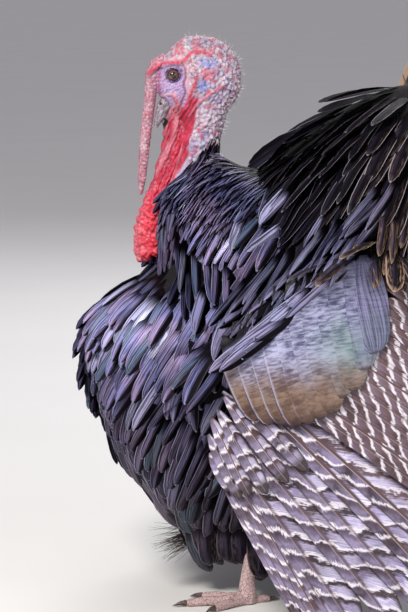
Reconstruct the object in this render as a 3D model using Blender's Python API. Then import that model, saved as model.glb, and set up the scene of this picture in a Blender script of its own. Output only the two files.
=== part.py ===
"""A strutting wild turkey tom at life size, as a still model whose pieces meet with thin gaps.

Metres, +Z up. The bird faces -X and its left side is -Y. Everything is modelled about the bird's
middle plane (y = 0), and the last step sets the origin on the floor below the middle of the whole.
The solids give the outline of the puffed plumage, out to the tips of the feathers.
"""

import math

import bmesh
import bpy
from mathutils import Matrix, Vector

# ---------------------------------------------------------------- driving sizes
GAP = 0.0004  # what is left free between two pieces that meet
SIDES = (("left", -1.0), ("right", 1.0))
AHEAD, ACROSS, UP = Vector((1, 0, 0)), Vector((0, 1, 0)), Vector((0, 0, 1))

# Trunk with its puffed plumage: x, top, bottom and half width of each key section.
TRUNK_KEYS = (
    (-0.219, 0.292, 0.264, 0.014),
    (-0.209, 0.342, 0.205, 0.080),
    (-0.180, 0.380, 0.150, 0.120),
    (-0.140, 0.407, 0.104, 0.146),
    (-0.090, 0.452, 0.072, 0.163),
    (-0.030, 0.504, 0.058, 0.172),
    (0.030, 0.550, 0.062, 0.174),
    (0.090, 0.591, 0.084, 0.169),
    (0.142, 0.615, 0.122, 0.153),
    (0.184, 0.618, 0.172, 0.129),
    (0.214, 0.578, 0.232, 0.095),
    (0.231, 0.500, 0.304, 0.054),
    (0.236, 0.416, 0.388, 0.014),
)
TRUNK_RINGS = 20
TRUNK_SIDES = 22
BREAST_CUT_X = -0.118
RUMP_CUT = Vector((0.100, 0.0, 0.500))  # a point of the cut between trunk and rump
RUMP_CUT_NORMAL = Vector((0.55, 0.0, 0.83))

# Each key of a tapered length below: x, z, half depth in the middle plane, half width across it.
MANTLE_KEYS = (
    (-0.072, 0.522, 0.016, 0.020),
    (-0.070, 0.502, 0.036, 0.042),
    (-0.060, 0.470, 0.060, 0.078),
    (-0.044, 0.430, 0.086, 0.112),
    (-0.030, 0.385, 0.104, 0.138),
    (-0.020, 0.335, 0.104, 0.140),
)
NECK_KEYS = (
    (-0.082, 0.585, 0.036, 0.024),
    (-0.079, 0.557, 0.026, 0.022),
    (-0.086, 0.523, 0.021, 0.020),
    (-0.102, 0.488, 0.019, 0.019),
    (-0.117, 0.453, 0.017, 0.018),
    (-0.129, 0.418, 0.017, 0.018),
    (-0.137, 0.392, 0.016, 0.017),
    (-0.140, 0.374, 0.014, 0.014),
)
WATTLE_KEYS = (
    (-0.096, 0.578, 0.004, 0.004),
    (-0.101, 0.556, 0.007, 0.006),
    (-0.113, 0.522, 0.011, 0.008),
    (-0.126, 0.487, 0.013, 0.011),
    (-0.137, 0.452, 0.015, 0.016),
    (-0.141, 0.424, 0.016, 0.021),
    (-0.141, 0.402, 0.015, 0.021),
    (-0.141, 0.386, 0.010, 0.014),
)
SNOOD_KEYS = (
    (-0.122, 0.632, 0.006, 0.006),
    (-0.133, 0.622, 0.009, 0.009),
    (-0.1385, 0.606, 0.0080, 0.0075),
    (-0.1405, 0.580, 0.0068, 0.0068),
    (-0.1445, 0.550, 0.0066, 0.0064),
    (-0.1470, 0.520, 0.0060, 0.0058),
    (-0.1490, 0.492, 0.0048, 0.0048),
    (-0.1502, 0.472, 0.0020, 0.0020),
)
SNOOD_SWAY = 0.009  # how far its hanging end lies to the bird's right
BILL_UPPER_KEYS = (
    (-0.112, 0.600, 0.0085, 0.0090),
    (-0.119, 0.587, 0.0095, 0.0090),
    (-0.125, 0.573, 0.0080, 0.0078),
    (-0.1300, 0.5620, 0.0054, 0.0056),
    (-0.1330, 0.5545, 0.0028, 0.0030),
    (-0.1337, 0.5510, 0.0012, 0.0012),
)
BILL_LOWER_KEYS = (
    (-0.098, 0.595, 0.0050, 0.0078),
    (-0.107, 0.582, 0.0050, 0.0074),
    (-0.115, 0.570, 0.0042, 0.0062),
    (-0.1225, 0.5605, 0.0030, 0.0042),
    (-0.1262, 0.5562, 0.0014, 0.0020),
)
CRANIUM_CENTRE = Vector((-0.082, 0.0, 0.6065))
CRANIUM_RADII = (0.0490, 0.0275, 0.0495)
FACE_KEYS = (
    (-0.088, 0.606, 0.044, 0.0245),
    (-0.108, 0.606, 0.037, 0.0220),
    (-0.122, 0.606, 0.027, 0.0170),
    (-0.132, 0.606, 0.016, 0.0120),
)
HEAD_CUT = Vector((-0.079, 0.0, 0.551))  # a point of the cut between head and neck
HEAD_CUT_NORMAL = Vector((0.10, 0.0, 0.995))
EYE_CENTRE = Vector((-0.1165, 0.0150, 0.6125))
EYE_RADIUS = 0.0082

UNDERTAIL_CENTRE = Vector((0.226, 0.0, 0.335))
UNDERTAIL_RADII = (0.074, 0.108, 0.112)
BEARD_ROOT, BEARD_TIP = Vector((-0.066, 0.0, 0.086)), Vector((-0.127, 0.0, 0.050))

# Tail: the feathers spread from a point in a plane that leans back.
TAIL_POINT = Vector((0.216, 0.0, 0.446))
TAIL_LEAN = math.radians(20.0)
TAIL_CUP = 0.012  # how far its rim lies forward of the flat
TAIL_FEATHERS, TAIL_LENGTH, TAIL_SPREAD = 18, 0.370, math.radians(86.0)
COVERT_FEATHERS, COVERT_LENGTH, COVERT_SPREAD = 13, 0.232, math.radians(82.0)
TAIL_ROOT_RADIUS = 0.090

# Left wing, seen from the side as (x, z). The right wing mirrors it.
WRIST, ELBOW, HAND_TIP = (-0.112, 0.284), (0.092, 0.392), (-0.076, 0.204)
PRIMARY_TIPS = ((0.150, 0.052), (0.072, -0.008), (0.012, 0.0065))
SECONDARY_TIPS = ((0.168, 0.062), (0.262, 0.120), (0.292, 0.272))
PANEL_TIPS = ((-0.046, 0.220), (0.030, 0.215), (0.104, 0.322))
ALULA_TIPS = ((-0.052, 0.196), (-0.040, 0.170), (-0.030, 0.142))
WING_OUT, WING_FLARE, WING_TUCK, WING_WRAP = 0.199, 0.17, 0.20, 1.40
WING_MIDDLE = (0.030, 0.300)
# The arm, which the ranks grow from: x, z, half depth in the wing's face, half thickness.
ARM_KEYS = (
    (-0.121, 0.291, 0.009, 0.008),
    (-0.104, 0.304, 0.018, 0.015),
    (-0.050, 0.337, 0.024, 0.018),
    (0.020, 0.376, 0.027, 0.019),
    (0.084, 0.410, 0.026, 0.017),
    (0.112, 0.424, 0.012, 0.009),
)

# Legs: where each foot's ankle stands, and how far the hock lies behind it.
FOOT_PLACES = {"left": (-0.040, -0.068), "right": (0.084, 0.068)}
HOCK_BACK, THIGH_FOOT_Z, ANKLE_Z = 0.008, 0.0680, 0.0280
TOE_ANGLES = {"inner": 34.0, "middle": 0.0, "outer": -34.0, "hind": 172.0}
TOE_LENGTHS = {"inner": 0.056, "middle": 0.072, "outer": 0.054, "hind": 0.028}
TOE_RADIUS, CLAW_LENGTH, TOE_START = 0.0068, 0.017, 0.004

COLOURS = {
    "plumage": ((0.030, 0.024, 0.028), 0.45, 0.15),
    "bronze": ((0.160, 0.130, 0.110), 0.35, 0.45),
    "barred": ((0.210, 0.190, 0.200), 0.60, 0.0),
    "tail": ((0.090, 0.060, 0.045), 0.50, 0.05),
    "face": ((0.560, 0.430, 0.560), 0.55, 0.0),
    "wattle": ((0.750, 0.050, 0.060), 0.40, 0.0),
    "bill": ((0.420, 0.340, 0.300), 0.40, 0.0),
    "eye": ((0.060, 0.025, 0.012), 0.05, 0.0),
    "leg": ((0.600, 0.420, 0.400), 0.55, 0.0),
    "claw": ((0.120, 0.095, 0.085), 0.40, 0.0),
    "beard": ((0.020, 0.016, 0.015), 0.60, 0.0),
}


# ---------------------------------------------------------------- tools
def clear_scene():
    for old in list(bpy.data.objects):
        bpy.data.objects.remove(old, do_unlink=True)


def material(kind):
    made = bpy.data.materials.get(kind)
    if made is None:
        colour, roughness, metallic = COLOURS[kind]
        made = bpy.data.materials.new(kind)
        made.use_nodes = True
        shader = made.node_tree.nodes["Principled BSDF"]
        shader.inputs["Base Color"].default_value = (*colour, 1.0)
        shader.inputs["Roughness"].default_value = roughness
        shader.inputs["Metallic"].default_value = metallic
    return made


def add_mesh(name, points, faces, kind):
    mesh = bpy.data.meshes.new(name)
    mesh.from_pydata([tuple(p) for p in points], [], faces)
    mesh.validate()
    made = bpy.data.objects.new(name, mesh)
    bpy.context.scene.collection.objects.link(made)
    mesh.materials.append(material(kind))
    tidy = bmesh.new()
    tidy.from_mesh(mesh)
    bmesh.ops.recalc_face_normals(tidy, faces=tidy.faces)
    bmesh.ops.triangulate(tidy, faces=tidy.faces)  # so that a grown copy is faceted alike
    tidy.to_mesh(mesh)
    tidy.free()
    mesh.shade_smooth()
    mesh.set_sharp_from_angle(angle=math.radians(50))
    return made


def smooth_key(keys, t):
    """A point at share t of a smooth curve through the keys (Catmull-Rom, ends repeated)."""
    place = min(max(t, 0.0), 1.0) * (len(keys) - 1)
    i = min(int(place), len(keys) - 2)
    f = place - i
    before, a = keys[max(i - 1, 0)], keys[i]
    b, after = keys[i + 1], keys[min(i + 2, len(keys) - 1)]
    return tuple(
        0.5 * (2 * q + (r - p) * f + (2 * p - 5 * q + 4 * r - s) * f**2 + (3 * q - p - 3 * r + s) * f**3)
        for p, q, r, s in zip(before, a, b, after)
    )


def ring_of(centre, across, upright, half_width, half_height, count):
    turn = 2 * math.pi / count
    return [
        centre + across * (half_width * math.cos(turn * k)) + upright * (half_height * math.sin(turn * k))
        for k in range(count)
    ]


def level_ring(centre, along_x, along_y, count):
    return ring_of(centre, AHEAD, ACROSS, along_x, along_y, count)


def loft(name, rings, kind):
    """A closed skin over rings of equal count, with flat ends."""
    count = len(rings[0])
    points = [p for ring in rings for p in ring]
    faces = [tuple(range(count - 1, -1, -1)), tuple(range(len(points) - count, len(points)))]
    for r in range(len(rings) - 1):
        for k in range(count):
            a, b = r * count + k, r * count + (k + 1) % count
            faces.append((a, b, b + count, a + count))
    return add_mesh(name, points, faces, kind)


def tapered(name, keys, rings, sides, kind, sway=0.0):
    """A length that follows the keys' line in the middle plane, its end swayed to the right."""
    made = []
    for r in range(rings):
        t = r / (rings - 1)
        x, z, depth, width = smooth_key(keys, t)
        ahead, behind = smooth_key(keys, t + 0.01), smooth_key(keys, t - 0.01)
        along = Vector((ahead[0] - behind[0], 0.0, ahead[1] - behind[1])).normalized()
        upright = Vector((-along.z, 0.0, along.x))
        made.append(ring_of(Vector((x, sway * t * t, z)), ACROSS, upright, width, depth, sides))
    return loft(name, made, kind)


def ball(name, centre, radii, kind, rings=10, sides=18):
    made = []
    for r in range(1, rings):
        lean = math.pi * r / rings
        level, reach = centre + UP * (radii[2] * math.cos(lean)), math.sin(lean)
        made.append(level_ring(level, radii[0] * reach, radii[1] * reach, sides))
    return loft(name, made, kind)


def freeze(part):
    """The part's modifiers become its mesh, and only the largest body of it is kept."""
    graph = bpy.context.evaluated_depsgraph_get()
    mesh = bpy.data.meshes.new_from_object(part.evaluated_get(graph))
    part.modifiers.clear()
    part.data = mesh
    work = bmesh.new()
    work.from_mesh(mesh)
    bmesh.ops.remove_doubles(work, verts=work.verts, dist=0.00002)
    bmesh.ops.dissolve_degenerate(work, edges=work.edges, dist=0.00002)
    waiting, bodies = set(work.verts), []
    while waiting:
        body, front = set(), [waiting.pop()]
        while front:
            vert = front.pop()
            body.add(vert)
            near = {e.other_vert(vert) for e in vert.link_edges} & waiting
            waiting -= near
            front.extend(near)
        bodies.append(body)
    bodies.sort(key=lambda body: -sum(f.calc_area() for f in {f for v in body for f in v.link_faces}))
    for body in bodies[1:]:
        bmesh.ops.delete(work, geom=list(body), context="VERTS")
    bmesh.ops.recalc_face_normals(work, faces=work.faces)
    work.to_mesh(mesh)
    work.free()
    return part


def grown(part, by=GAP):
    """A hidden copy of the part, a little larger all over, that cuts a gap."""
    mesh = part.data.copy()
    cutter = bpy.data.objects.new(part.name + "_cutter", mesh)
    bpy.context.scene.collection.objects.link(cutter)
    cutter.hide_render = True
    cutter.display_type = "WIRE"
    work = bmesh.new()
    work.from_mesh(mesh)
    work.normal_update()
    moves = [(v, v.normal * by * min(v.calc_shell_factor(), 3.0)) for v in work.verts]
    for vert, move in moves:
        vert.co += move
    work.to_mesh(mesh)
    work.free()
    return cutter


def meets(part, other):
    """Whether the boxes round two parts overlap."""
    for k in range(3):
        a, b = ([v.co[k] for v in one.data.vertices] for one in (part, other))
        if max(a) < min(b) or max(b) < min(a):
            return False
    return True


def combine(part, others, operation):
    for other in others:
        if not meets(part, other):
            continue
        modifier = part.modifiers.new("with_" + other.name, "BOOLEAN")
        modifier.operation = operation
        modifier.object = other
        freeze(part)
    return part


def cut(part, *cutters):
    return combine(part, cutters, "DIFFERENCE")


def join(part, *others):
    combine(part, others, "UNION")
    for other in others:
        bpy.data.objects.remove(other, do_unlink=True)
    return part


def half(part, name, point, normal):
    """A new part: what lies on the side of the plane that its normal points to."""
    mesh = part.data.copy()
    made = bpy.data.objects.new(name, mesh)
    bpy.context.scene.collection.objects.link(made)
    work = bmesh.new()
    work.from_mesh(mesh)
    everything = [*work.verts, *work.edges, *work.faces]
    bmesh.ops.bisect_plane(
        work, geom=everything, dist=0.00001, plane_co=point, plane_no=normal, clear_inner=True
    )
    bmesh.ops.holes_fill(work, edges=[e for e in work.edges if e.is_boundary], sides=0)
    bmesh.ops.recalc_face_normals(work, faces=work.faces)
    work.to_mesh(mesh)
    work.free()
    return made


def remove(*parts):
    for part in parts:
        bpy.data.objects.remove(part, do_unlink=True)


# ---------------------------------------------------------------- trunk
def make_trunk():
    rings = []
    for r in range(TRUNK_RINGS):
        x, top, bottom, width = smooth_key(TRUNK_KEYS, r / (TRUNK_RINGS - 1))
        centre = Vector((x, 0.0, (top + bottom) / 2))
        rings.append(ring_of(centre, ACROSS, UP, width, (top - bottom) / 2, TRUNK_SIDES))
    return loft("trunk_whole", rings, "plumage")


def part_trunk(whole):
    """Breast, trunk and rump are one skin, parted by two thin cuts."""
    front = Vector((BREAST_CUT_X, 0, 0))
    back_off = RUMP_CUT_NORMAL.normalized() * GAP
    half(whole, "breast", front, -AHEAD)
    rest = half(whole, "rest", front + AHEAD * GAP, AHEAD)
    half(rest, "rump", RUMP_CUT + back_off, RUMP_CUT_NORMAL)
    half(rest, "trunk", RUMP_CUT, -RUMP_CUT_NORMAL)
    remove(rest)


# ---------------------------------------------------------------- head and neck
def make_eyes():
    for side, sign in SIDES:
        place = Vector((EYE_CENTRE.x, sign * EYE_CENTRE.y, EYE_CENTRE.z))
        yield ball("eye_" + side, place, (EYE_RADIUS,) * 3, "eye", rings=7, sides=12)


def make_head_and_neck(body_cutters):
    column = tapered("column", NECK_KEYS, 11, 12, "face")
    under = HEAD_CUT - HEAD_CUT_NORMAL.normalized() * GAP
    cut(half(column, "neck", under, -HEAD_CUT_NORMAL), *body_cutters)
    crown = ball("crown", CRANIUM_CENTRE, CRANIUM_RADII, "face", rings=9, sides=14)
    face = tapered("face_front", FACE_KEYS, 5, 12, "face")
    joined = join(crown, column, face)
    head = half(joined, "head", HEAD_CUT, HEAD_CUT_NORMAL)
    head_cutter = grown(joined)
    remove(joined)
    for eye in list(make_eyes()):
        cut(head, grown(eye))
    return head_cutter


def make_face_pieces(head_cutter, body_cutters):
    upper = tapered("bill_upper", BILL_UPPER_KEYS, 7, 10, "bill")
    upper_cutter = grown(upper)
    cut(upper, head_cutter)
    cut(tapered("bill_lower", BILL_LOWER_KEYS, 6, 8, "bill"), head_cutter, upper_cutter)
    snood = tapered("snood", SNOOD_KEYS, 9, 8, "wattle", sway=SNOOD_SWAY)
    cut(snood, head_cutter, upper_cutter)
    cut(tapered("wattle", WATTLE_KEYS, 9, 10, "wattle"), head_cutter, *body_cutters)


# ---------------------------------------------------------------- ranks of feathers
def bezier(ends, t):
    a, b, c = (Vector(p) for p in ends)
    return a * (1 - t) ** 2 + b * (2 * t * (1 - t)) + c * t**2


def feather_rank(name, kind, count, place, rows, columns, depth, step, roundness):
    """Feathers side by side in one closed slab. place(u, v) gives a point of the rank's middle face
    and its outward normal, with u across the rank and v from roots to tips. Each feather has
    one raised edge, and its end is drawn in at both corners."""
    outer, inner = [], []
    for i in range(count):
        for k in range(columns):
            share = k / (columns - 1)
            u = (i + 0.03 + 0.94 * share) / count
            end = 1 - roundness * abs(2 * share - 1) ** 2.5
            for r in range(rows + 1):
                point, normal = place(u, end * r / rows)
                thin = 1 - 0.55 * r / rows
                shift = step * (share - 0.5) * r / rows
                outer.append(point + normal * (shift + depth * thin / 2))
                inner.append(point + normal * (shift - depth * thin / 2))
    lines, high = count * columns, rows + 1
    under = len(outer)
    faces = []
    for c in range(lines - 1):
        for r in range(rows):
            a, b = c * high + r, (c + 1) * high + r
            faces.append((a, b, b + 1, a + 1))
            faces.append((a + under, a + 1 + under, b + 1 + under, b + under))
        for r in (0, rows):
            a, b = c * high + r, (c + 1) * high + r
            faces.append((a, a + under, b + under, b))
    for c in (0, lines - 1):
        for r in range(rows):
            a = c * high + r
            faces.append((a, a + 1, a + 1 + under, a + under))
    return add_mesh(name, outer + inner, faces, kind)


def wing_out(x, z):
    """How far from the middle plane the drooped wing's face lies."""
    drop = WING_MIDDLE[1] - z
    reach = WING_OUT + (WING_FLARE if drop > 0 else WING_TUCK) * drop
    return reach - WING_WRAP * (x - WING_MIDDLE[0]) ** 2 * (1.0 if x < WING_MIDDLE[0] else 0.55)


def wing_place(sign, roots, tips, lift):
    """Face of a rank of wing feathers, from a line of roots to a curve of tips."""
    first, last = (Vector(p) for p in roots)

    def point_at(u, v):
        flat = (first.lerp(last, u)).lerp(bezier(tips, u), v)
        return Vector((flat.x, sign * (wing_out(flat.x, flat.y) + lift), flat.y))

    def place(u, v):
        point, small = point_at(u, v), 0.01
        across, along = point_at(u + small, v) - point, point_at(u, v + small) - point
        normal = across.cross(along).normalized()
        return point, normal if normal.y * sign > 0 else -normal

    return place


def make_arm(side, sign):
    rings = []
    for r in range(8):
        x, z, depth, thick = smooth_key(ARM_KEYS, r / 7)
        ahead, behind = smooth_key(ARM_KEYS, r / 7 + 0.02), smooth_key(ARM_KEYS, r / 7 - 0.02)
        along = Vector((ahead[0] - behind[0], 0.0, ahead[1] - behind[1])).normalized()
        centre = Vector((x, sign * (wing_out(x, z) - 0.004), z))
        rings.append(ring_of(centre, ACROSS, Vector((-along.z, 0, along.x)), thick, depth, 10))
    return loft(f"wing_{side}_arm", rings, "plumage")


def make_wing(side, sign, body_cutters):
    """Each rank is cut by the body, by the arm and by the ranks made before it."""
    arm = make_arm(side, sign)
    cutters = [*body_cutters, grown(arm)]
    cut(arm, *body_cutters)
    hand, forearm = (WRIST, HAND_TIP), ((WRIST[0] + 0.012, WRIST[1] - 0.014), ELBOW)
    for name, kind, roots, tips, lift, count, rows, columns, depth, step, roundness in (
        ("panel", "bronze", (WRIST, ELBOW), PANEL_TIPS, 0.0090, 10, 2, 3, 0.0090, 0.0024, 0.10),
        ("alula", "barred", hand, ALULA_TIPS, 0.0090, 5, 2, 3, 0.0060, 0.0016, 0.12),
        ("secondaries", "barred", forearm, SECONDARY_TIPS, 0.0, 12, 2, 3, 0.0046, 0.0024, 0.05),
        ("primaries", "barred", hand, PRIMARY_TIPS, -0.0085, 10, 2, 3, 0.0050, 0.0024, 0.09),
    ):
        place = wing_place(sign, roots, tips, lift)
        rank = feather_rank(f"wing_{side}_{name}", kind, count, place, rows, columns, depth, step, roundness)
        over = grown(rank)
        cut(rank, *cutters)
        cutters.append(over)


def tail_place(length, lift, spread):
    lean = Matrix.Rotation(TAIL_LEAN, 3, "Y")
    normal = lean @ Vector((-1, 0, 0))

    def place(u, v):
        angle = spread * (2 * u - 1)
        reach = TAIL_ROOT_RADIUS + (length - TAIL_ROOT_RADIUS) * v
        flat = Vector((0.0, math.sin(angle), math.cos(angle))) * reach
        cup = TAIL_CUP * (reach / TAIL_LENGTH) ** 2
        return TAIL_POINT + lean @ flat + normal * (lift + cup), normal

    return place


def make_tail(body_cutters):
    place = tail_place(COVERT_LENGTH, 0.0135, COVERT_SPREAD)
    coverts = feather_rank("tail_coverts", "tail", COVERT_FEATHERS, place, 2, 3, 0.016, 0.002, 0.08)
    over = grown(coverts)
    cut(coverts, *body_cutters)
    place = tail_place(TAIL_LENGTH, 0.0, TAIL_SPREAD)
    fan = feather_rank("tail_fan", "tail", TAIL_FEATHERS, place, 2, 3, 0.0040, 0.0024, 0.035)
    cut(fan, *body_cutters, over)


# ---------------------------------------------------------------- legs
def sole_ring(centre, forward, radius):
    """Eight points across a toe, with the lowest two flat on the floor."""
    across, eighth = Vector((-forward.y, forward.x, 0)), math.pi / 8
    ring = []
    for k in range(8):
        turn = eighth * (2 * k + 1)
        point = centre + across * (radius * math.cos(turn))
        ring.append(Vector((point.x, point.y, max(centre.z + radius * math.sin(turn), 0.0))))
    return ring


def make_foot(side, sign):
    x, y = FOOT_PLACES[side]
    ankle = Vector((x, y, 0))
    block = loft(
        f"foot_{side}",
        [
            level_ring(ankle + UP * z, width, depth, 10)
            for z, width, depth in (
                (0.0006, 0.0105, 0.0105),
                (0.0100, 0.0118, 0.0112),
                (ANKLE_Z, 0.0090, 0.0080),
            )
        ],
        "leg",
    )
    toes = []
    for toe, turn in TOE_ANGLES.items():
        angle = math.radians(180 + sign * turn)
        forward = Vector((math.cos(angle), math.sin(angle), 0))
        length = TOE_LENGTHS[toe]
        slim = 0.82 if toe == "hind" else 1.0
        rings = []
        for share, size in ((0.0, 1.05), (0.33, 0.96), (0.40, 0.86), (0.68, 0.90), (1.0, 0.70)):
            radius = TOE_RADIUS * size * slim
            centre = ankle + forward * (TOE_START + (length - TOE_START) * share)
            rings.append(sole_ring(centre + UP * (radius * 0.86), forward, radius))
        toes.append(loft(f"toe_{toe}_{side}", rings, "leg"))
        claw = []
        for share, size in ((0.0, 0.58), (0.45, 0.42), (1.0, 0.06)):
            radius = TOE_RADIUS * size * slim
            centre = ankle + forward * (length + GAP + CLAW_LENGTH * slim * share)
            height = TOE_RADIUS * slim * (0.70 + 0.15 * share - 0.62 * share**2)
            claw.append(ring_of(centre + UP * height, forward.cross(UP), UP, radius * 0.8, radius, 6))
        loft(f"claw_{toe}_{side}", claw, "claw")
    join(block, *toes)


def make_leg(side, sign, trunk_cutter):
    x, y = FOOT_PLACES[side]
    hock_x, gap_z = x + HOCK_BACK, THIGH_FOOT_Z
    thigh_rings = [
        level_ring(Vector((hock_x + lean, y * spread, z)), width, depth, 14)
        for z, width, depth, lean, spread in (
            (gap_z, 0.015, 0.0135, 0.0, 1.0),
            (0.082, 0.026, 0.023, 0.006, 1.02),
            (0.108, 0.040, 0.033, 0.014, 1.05),
            (0.150, 0.050, 0.040, 0.020, 1.05),
        )
    ]
    thigh = loft("thigh_" + side, thigh_rings, "plumage")
    thigh_cutter = grown(thigh)
    cut(thigh, trunk_cutter)
    shank_rings = [
        level_ring(
            Vector((x + HOCK_BACK * share, y, ANKLE_Z + GAP + share * (gap_z - ANKLE_Z - 2 * GAP))),
            0.0088 + 0.0006 * share,
            0.0078,
            10,
        )
        for share in (0.0, 0.5, 1.0)
    ]
    shank = loft("shank_" + side, shank_rings, "leg")
    base = Vector((x + 0.0105, y, 0.050))
    spur_rings = [
        ring_of(base + AHEAD * (0.017 * share) + UP * (0.007 * share**2), ACROSS, UP, size, size, 8)
        for share, size in ((0.0, 0.0046), (0.4, 0.0033), (1.0, 0.0006))
    ]
    cut(loft("spur_" + side, spur_rings, "claw"), grown(shank))
    return thigh_cutter


def make_beard(trunk_cutter):
    along = (BEARD_TIP - BEARD_ROOT).normalized()
    upright = Vector((-along.z, 0, along.x))
    rings = [
        ring_of(BEARD_ROOT.lerp(BEARD_TIP, share), ACROSS, upright, width, depth, 10)
        for share, width, depth in (
            (0.0, 0.008, 0.006),
            (0.5, 0.011, 0.008),
            (0.85, 0.012, 0.007),
            (1.0, 0.008, 0.003),
        )
    ]
    cut(loft("beard", rings, "beard"), trunk_cutter)


# ---------------------------------------------------------------- the whole bird
def set_origin():
    """Moves every piece so that the origin lies on the floor below the middle of the whole bird."""
    shown = [part for part in bpy.data.objects if not part.hide_render]
    corners = [part.matrix_world @ Vector(c) for part in shown for c in part.bound_box]
    low = Vector(min(c[k] for c in corners) for k in range(3))
    high = Vector(max(c[k] for c in corners) for k in range(3))
    middle = (low + high) / 2
    for part in shown:
        part.location -= Vector((middle.x, middle.y, low.z))


def build():
    clear_scene()
    whole = make_trunk()
    trunk_cutter = grown(whole)
    body_cutters = [trunk_cutter]
    for part in (
        tapered("mantle", MANTLE_KEYS, 9, 20, "plumage"),
        ball("undertail", UNDERTAIL_CENTRE, UNDERTAIL_RADII, "plumage", 8, 14),
    ):
        body_cutters.append(grown(part))
        cut(part, trunk_cutter)
    head_cutter = make_head_and_neck(body_cutters)  # it holds the neck's length too
    make_face_pieces(head_cutter, body_cutters)
    make_tail(body_cutters)
    for side, sign in SIDES:
        thigh_cutter = make_leg(side, sign, trunk_cutter)
        make_foot(side, sign)
        make_wing(side, sign, [*body_cutters, thigh_cutter])
    make_beard(trunk_cutter)
    part_trunk(whole)
    remove(whole)
    bpy.context.view_layer.update()
    set_origin()


build()
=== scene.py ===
"""A wild turkey tom in strut, life size: skin, bill, eyes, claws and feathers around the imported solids."""

import math

import bmesh
import bpy
import numpy as np
from mathutils import Matrix, Vector, noise
from mathutils.bvhtree import BVHTree
from mathutils.kdtree import KDTree


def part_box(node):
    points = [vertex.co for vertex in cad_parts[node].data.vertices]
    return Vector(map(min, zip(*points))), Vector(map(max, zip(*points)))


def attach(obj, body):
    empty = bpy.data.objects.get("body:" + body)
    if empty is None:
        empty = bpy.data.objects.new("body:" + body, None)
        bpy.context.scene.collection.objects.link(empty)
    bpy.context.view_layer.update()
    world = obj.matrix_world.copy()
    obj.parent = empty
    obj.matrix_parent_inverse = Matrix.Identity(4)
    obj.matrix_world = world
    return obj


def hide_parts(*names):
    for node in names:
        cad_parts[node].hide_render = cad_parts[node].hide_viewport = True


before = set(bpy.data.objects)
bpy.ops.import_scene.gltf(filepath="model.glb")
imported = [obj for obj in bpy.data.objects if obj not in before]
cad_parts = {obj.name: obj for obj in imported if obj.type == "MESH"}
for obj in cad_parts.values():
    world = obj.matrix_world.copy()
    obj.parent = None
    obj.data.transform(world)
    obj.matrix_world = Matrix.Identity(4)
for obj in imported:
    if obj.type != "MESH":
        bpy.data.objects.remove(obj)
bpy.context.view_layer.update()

# ---------------------------------------------------------------- floor, light and camera
# The bird stands on a plain pale floor in a studio, in a bright room with three soft lamps. The camera
# looks at its left side from a little ahead of square and a little above.
LOOK_AT = Vector((-0.1333, 0.0, 0.3416))
LOOK_FROM = (math.radians(-12.0), math.radians(8.0))  # round the bird, and up
CAMERA_AWAY = 3.2
VIEW_HEIGHT = 0.7152  # what the long side of the view takes in, at the point looked at
SENSOR = 36.0


class Wire:
    """A socket in a node tree. Sums of wires and numbers add Math nodes, or Vector Math nodes where
    one side is a vector or a colour."""

    def __init__(self, recipe, socket):
        self.recipe, self.socket = recipe, socket
        self.plain = socket.type == "VALUE"

    def do(self, operation, *others, first=None):
        values = [self, *others] if first is None else [first, self, *others]
        if all(isinstance(v, (int, float)) or getattr(v, "plain", False) for v in values):
            return self.recipe.add("ShaderNodeMath", {"operation": operation}, dict(enumerate(values)))
        values = [(v, v, v) if isinstance(v, (int, float)) else v for v in values]
        return self.recipe.add("ShaderNodeVectorMath", {"operation": operation}, dict(enumerate(values)))

    def __add__(self, other):
        return self.do("ADD", other)

    def __sub__(self, other):
        return self.do("SUBTRACT", other)

    def __mul__(self, other):
        return self.do("MULTIPLY", other)

    def __truediv__(self, other):
        return self.do("DIVIDE", other)

    def __rsub__(self, other):
        return self.do("SUBTRACT", first=other)

    __radd__, __rmul__ = __add__, __mul__

    def __neg__(self):
        return self * -1.0

    def __abs__(self):
        return self.do("ABSOLUTE")

    def sine(self):
        return self.do("SINE")

    def cosine(self):
        return self.do("COSINE")

    def fraction(self):
        return self.do("FRACT")

    def at_most(self, other):
        return self.do("MINIMUM", other)

    def at_least(self, other):
        return self.do("MAXIMUM", other)

    def step(self, low, high, to_low=0.0, to_high=1.0):
        """Rises smoothly from to_low to to_high as the value goes from low to high."""
        settings = {"interpolation_type": "SMOOTHSTEP"}
        if low > high:
            low, high, to_low, to_high = high, low, to_high, to_low
        values = {0: self, 1: low, 2: high, 3: to_low, 4: to_high}
        return self.recipe.add("ShaderNodeMapRange", settings, values)

    def part(self, axis):
        return self.recipe.add("ShaderNodeSeparateXYZ", {}, {0: self}, out=axis)


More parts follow.
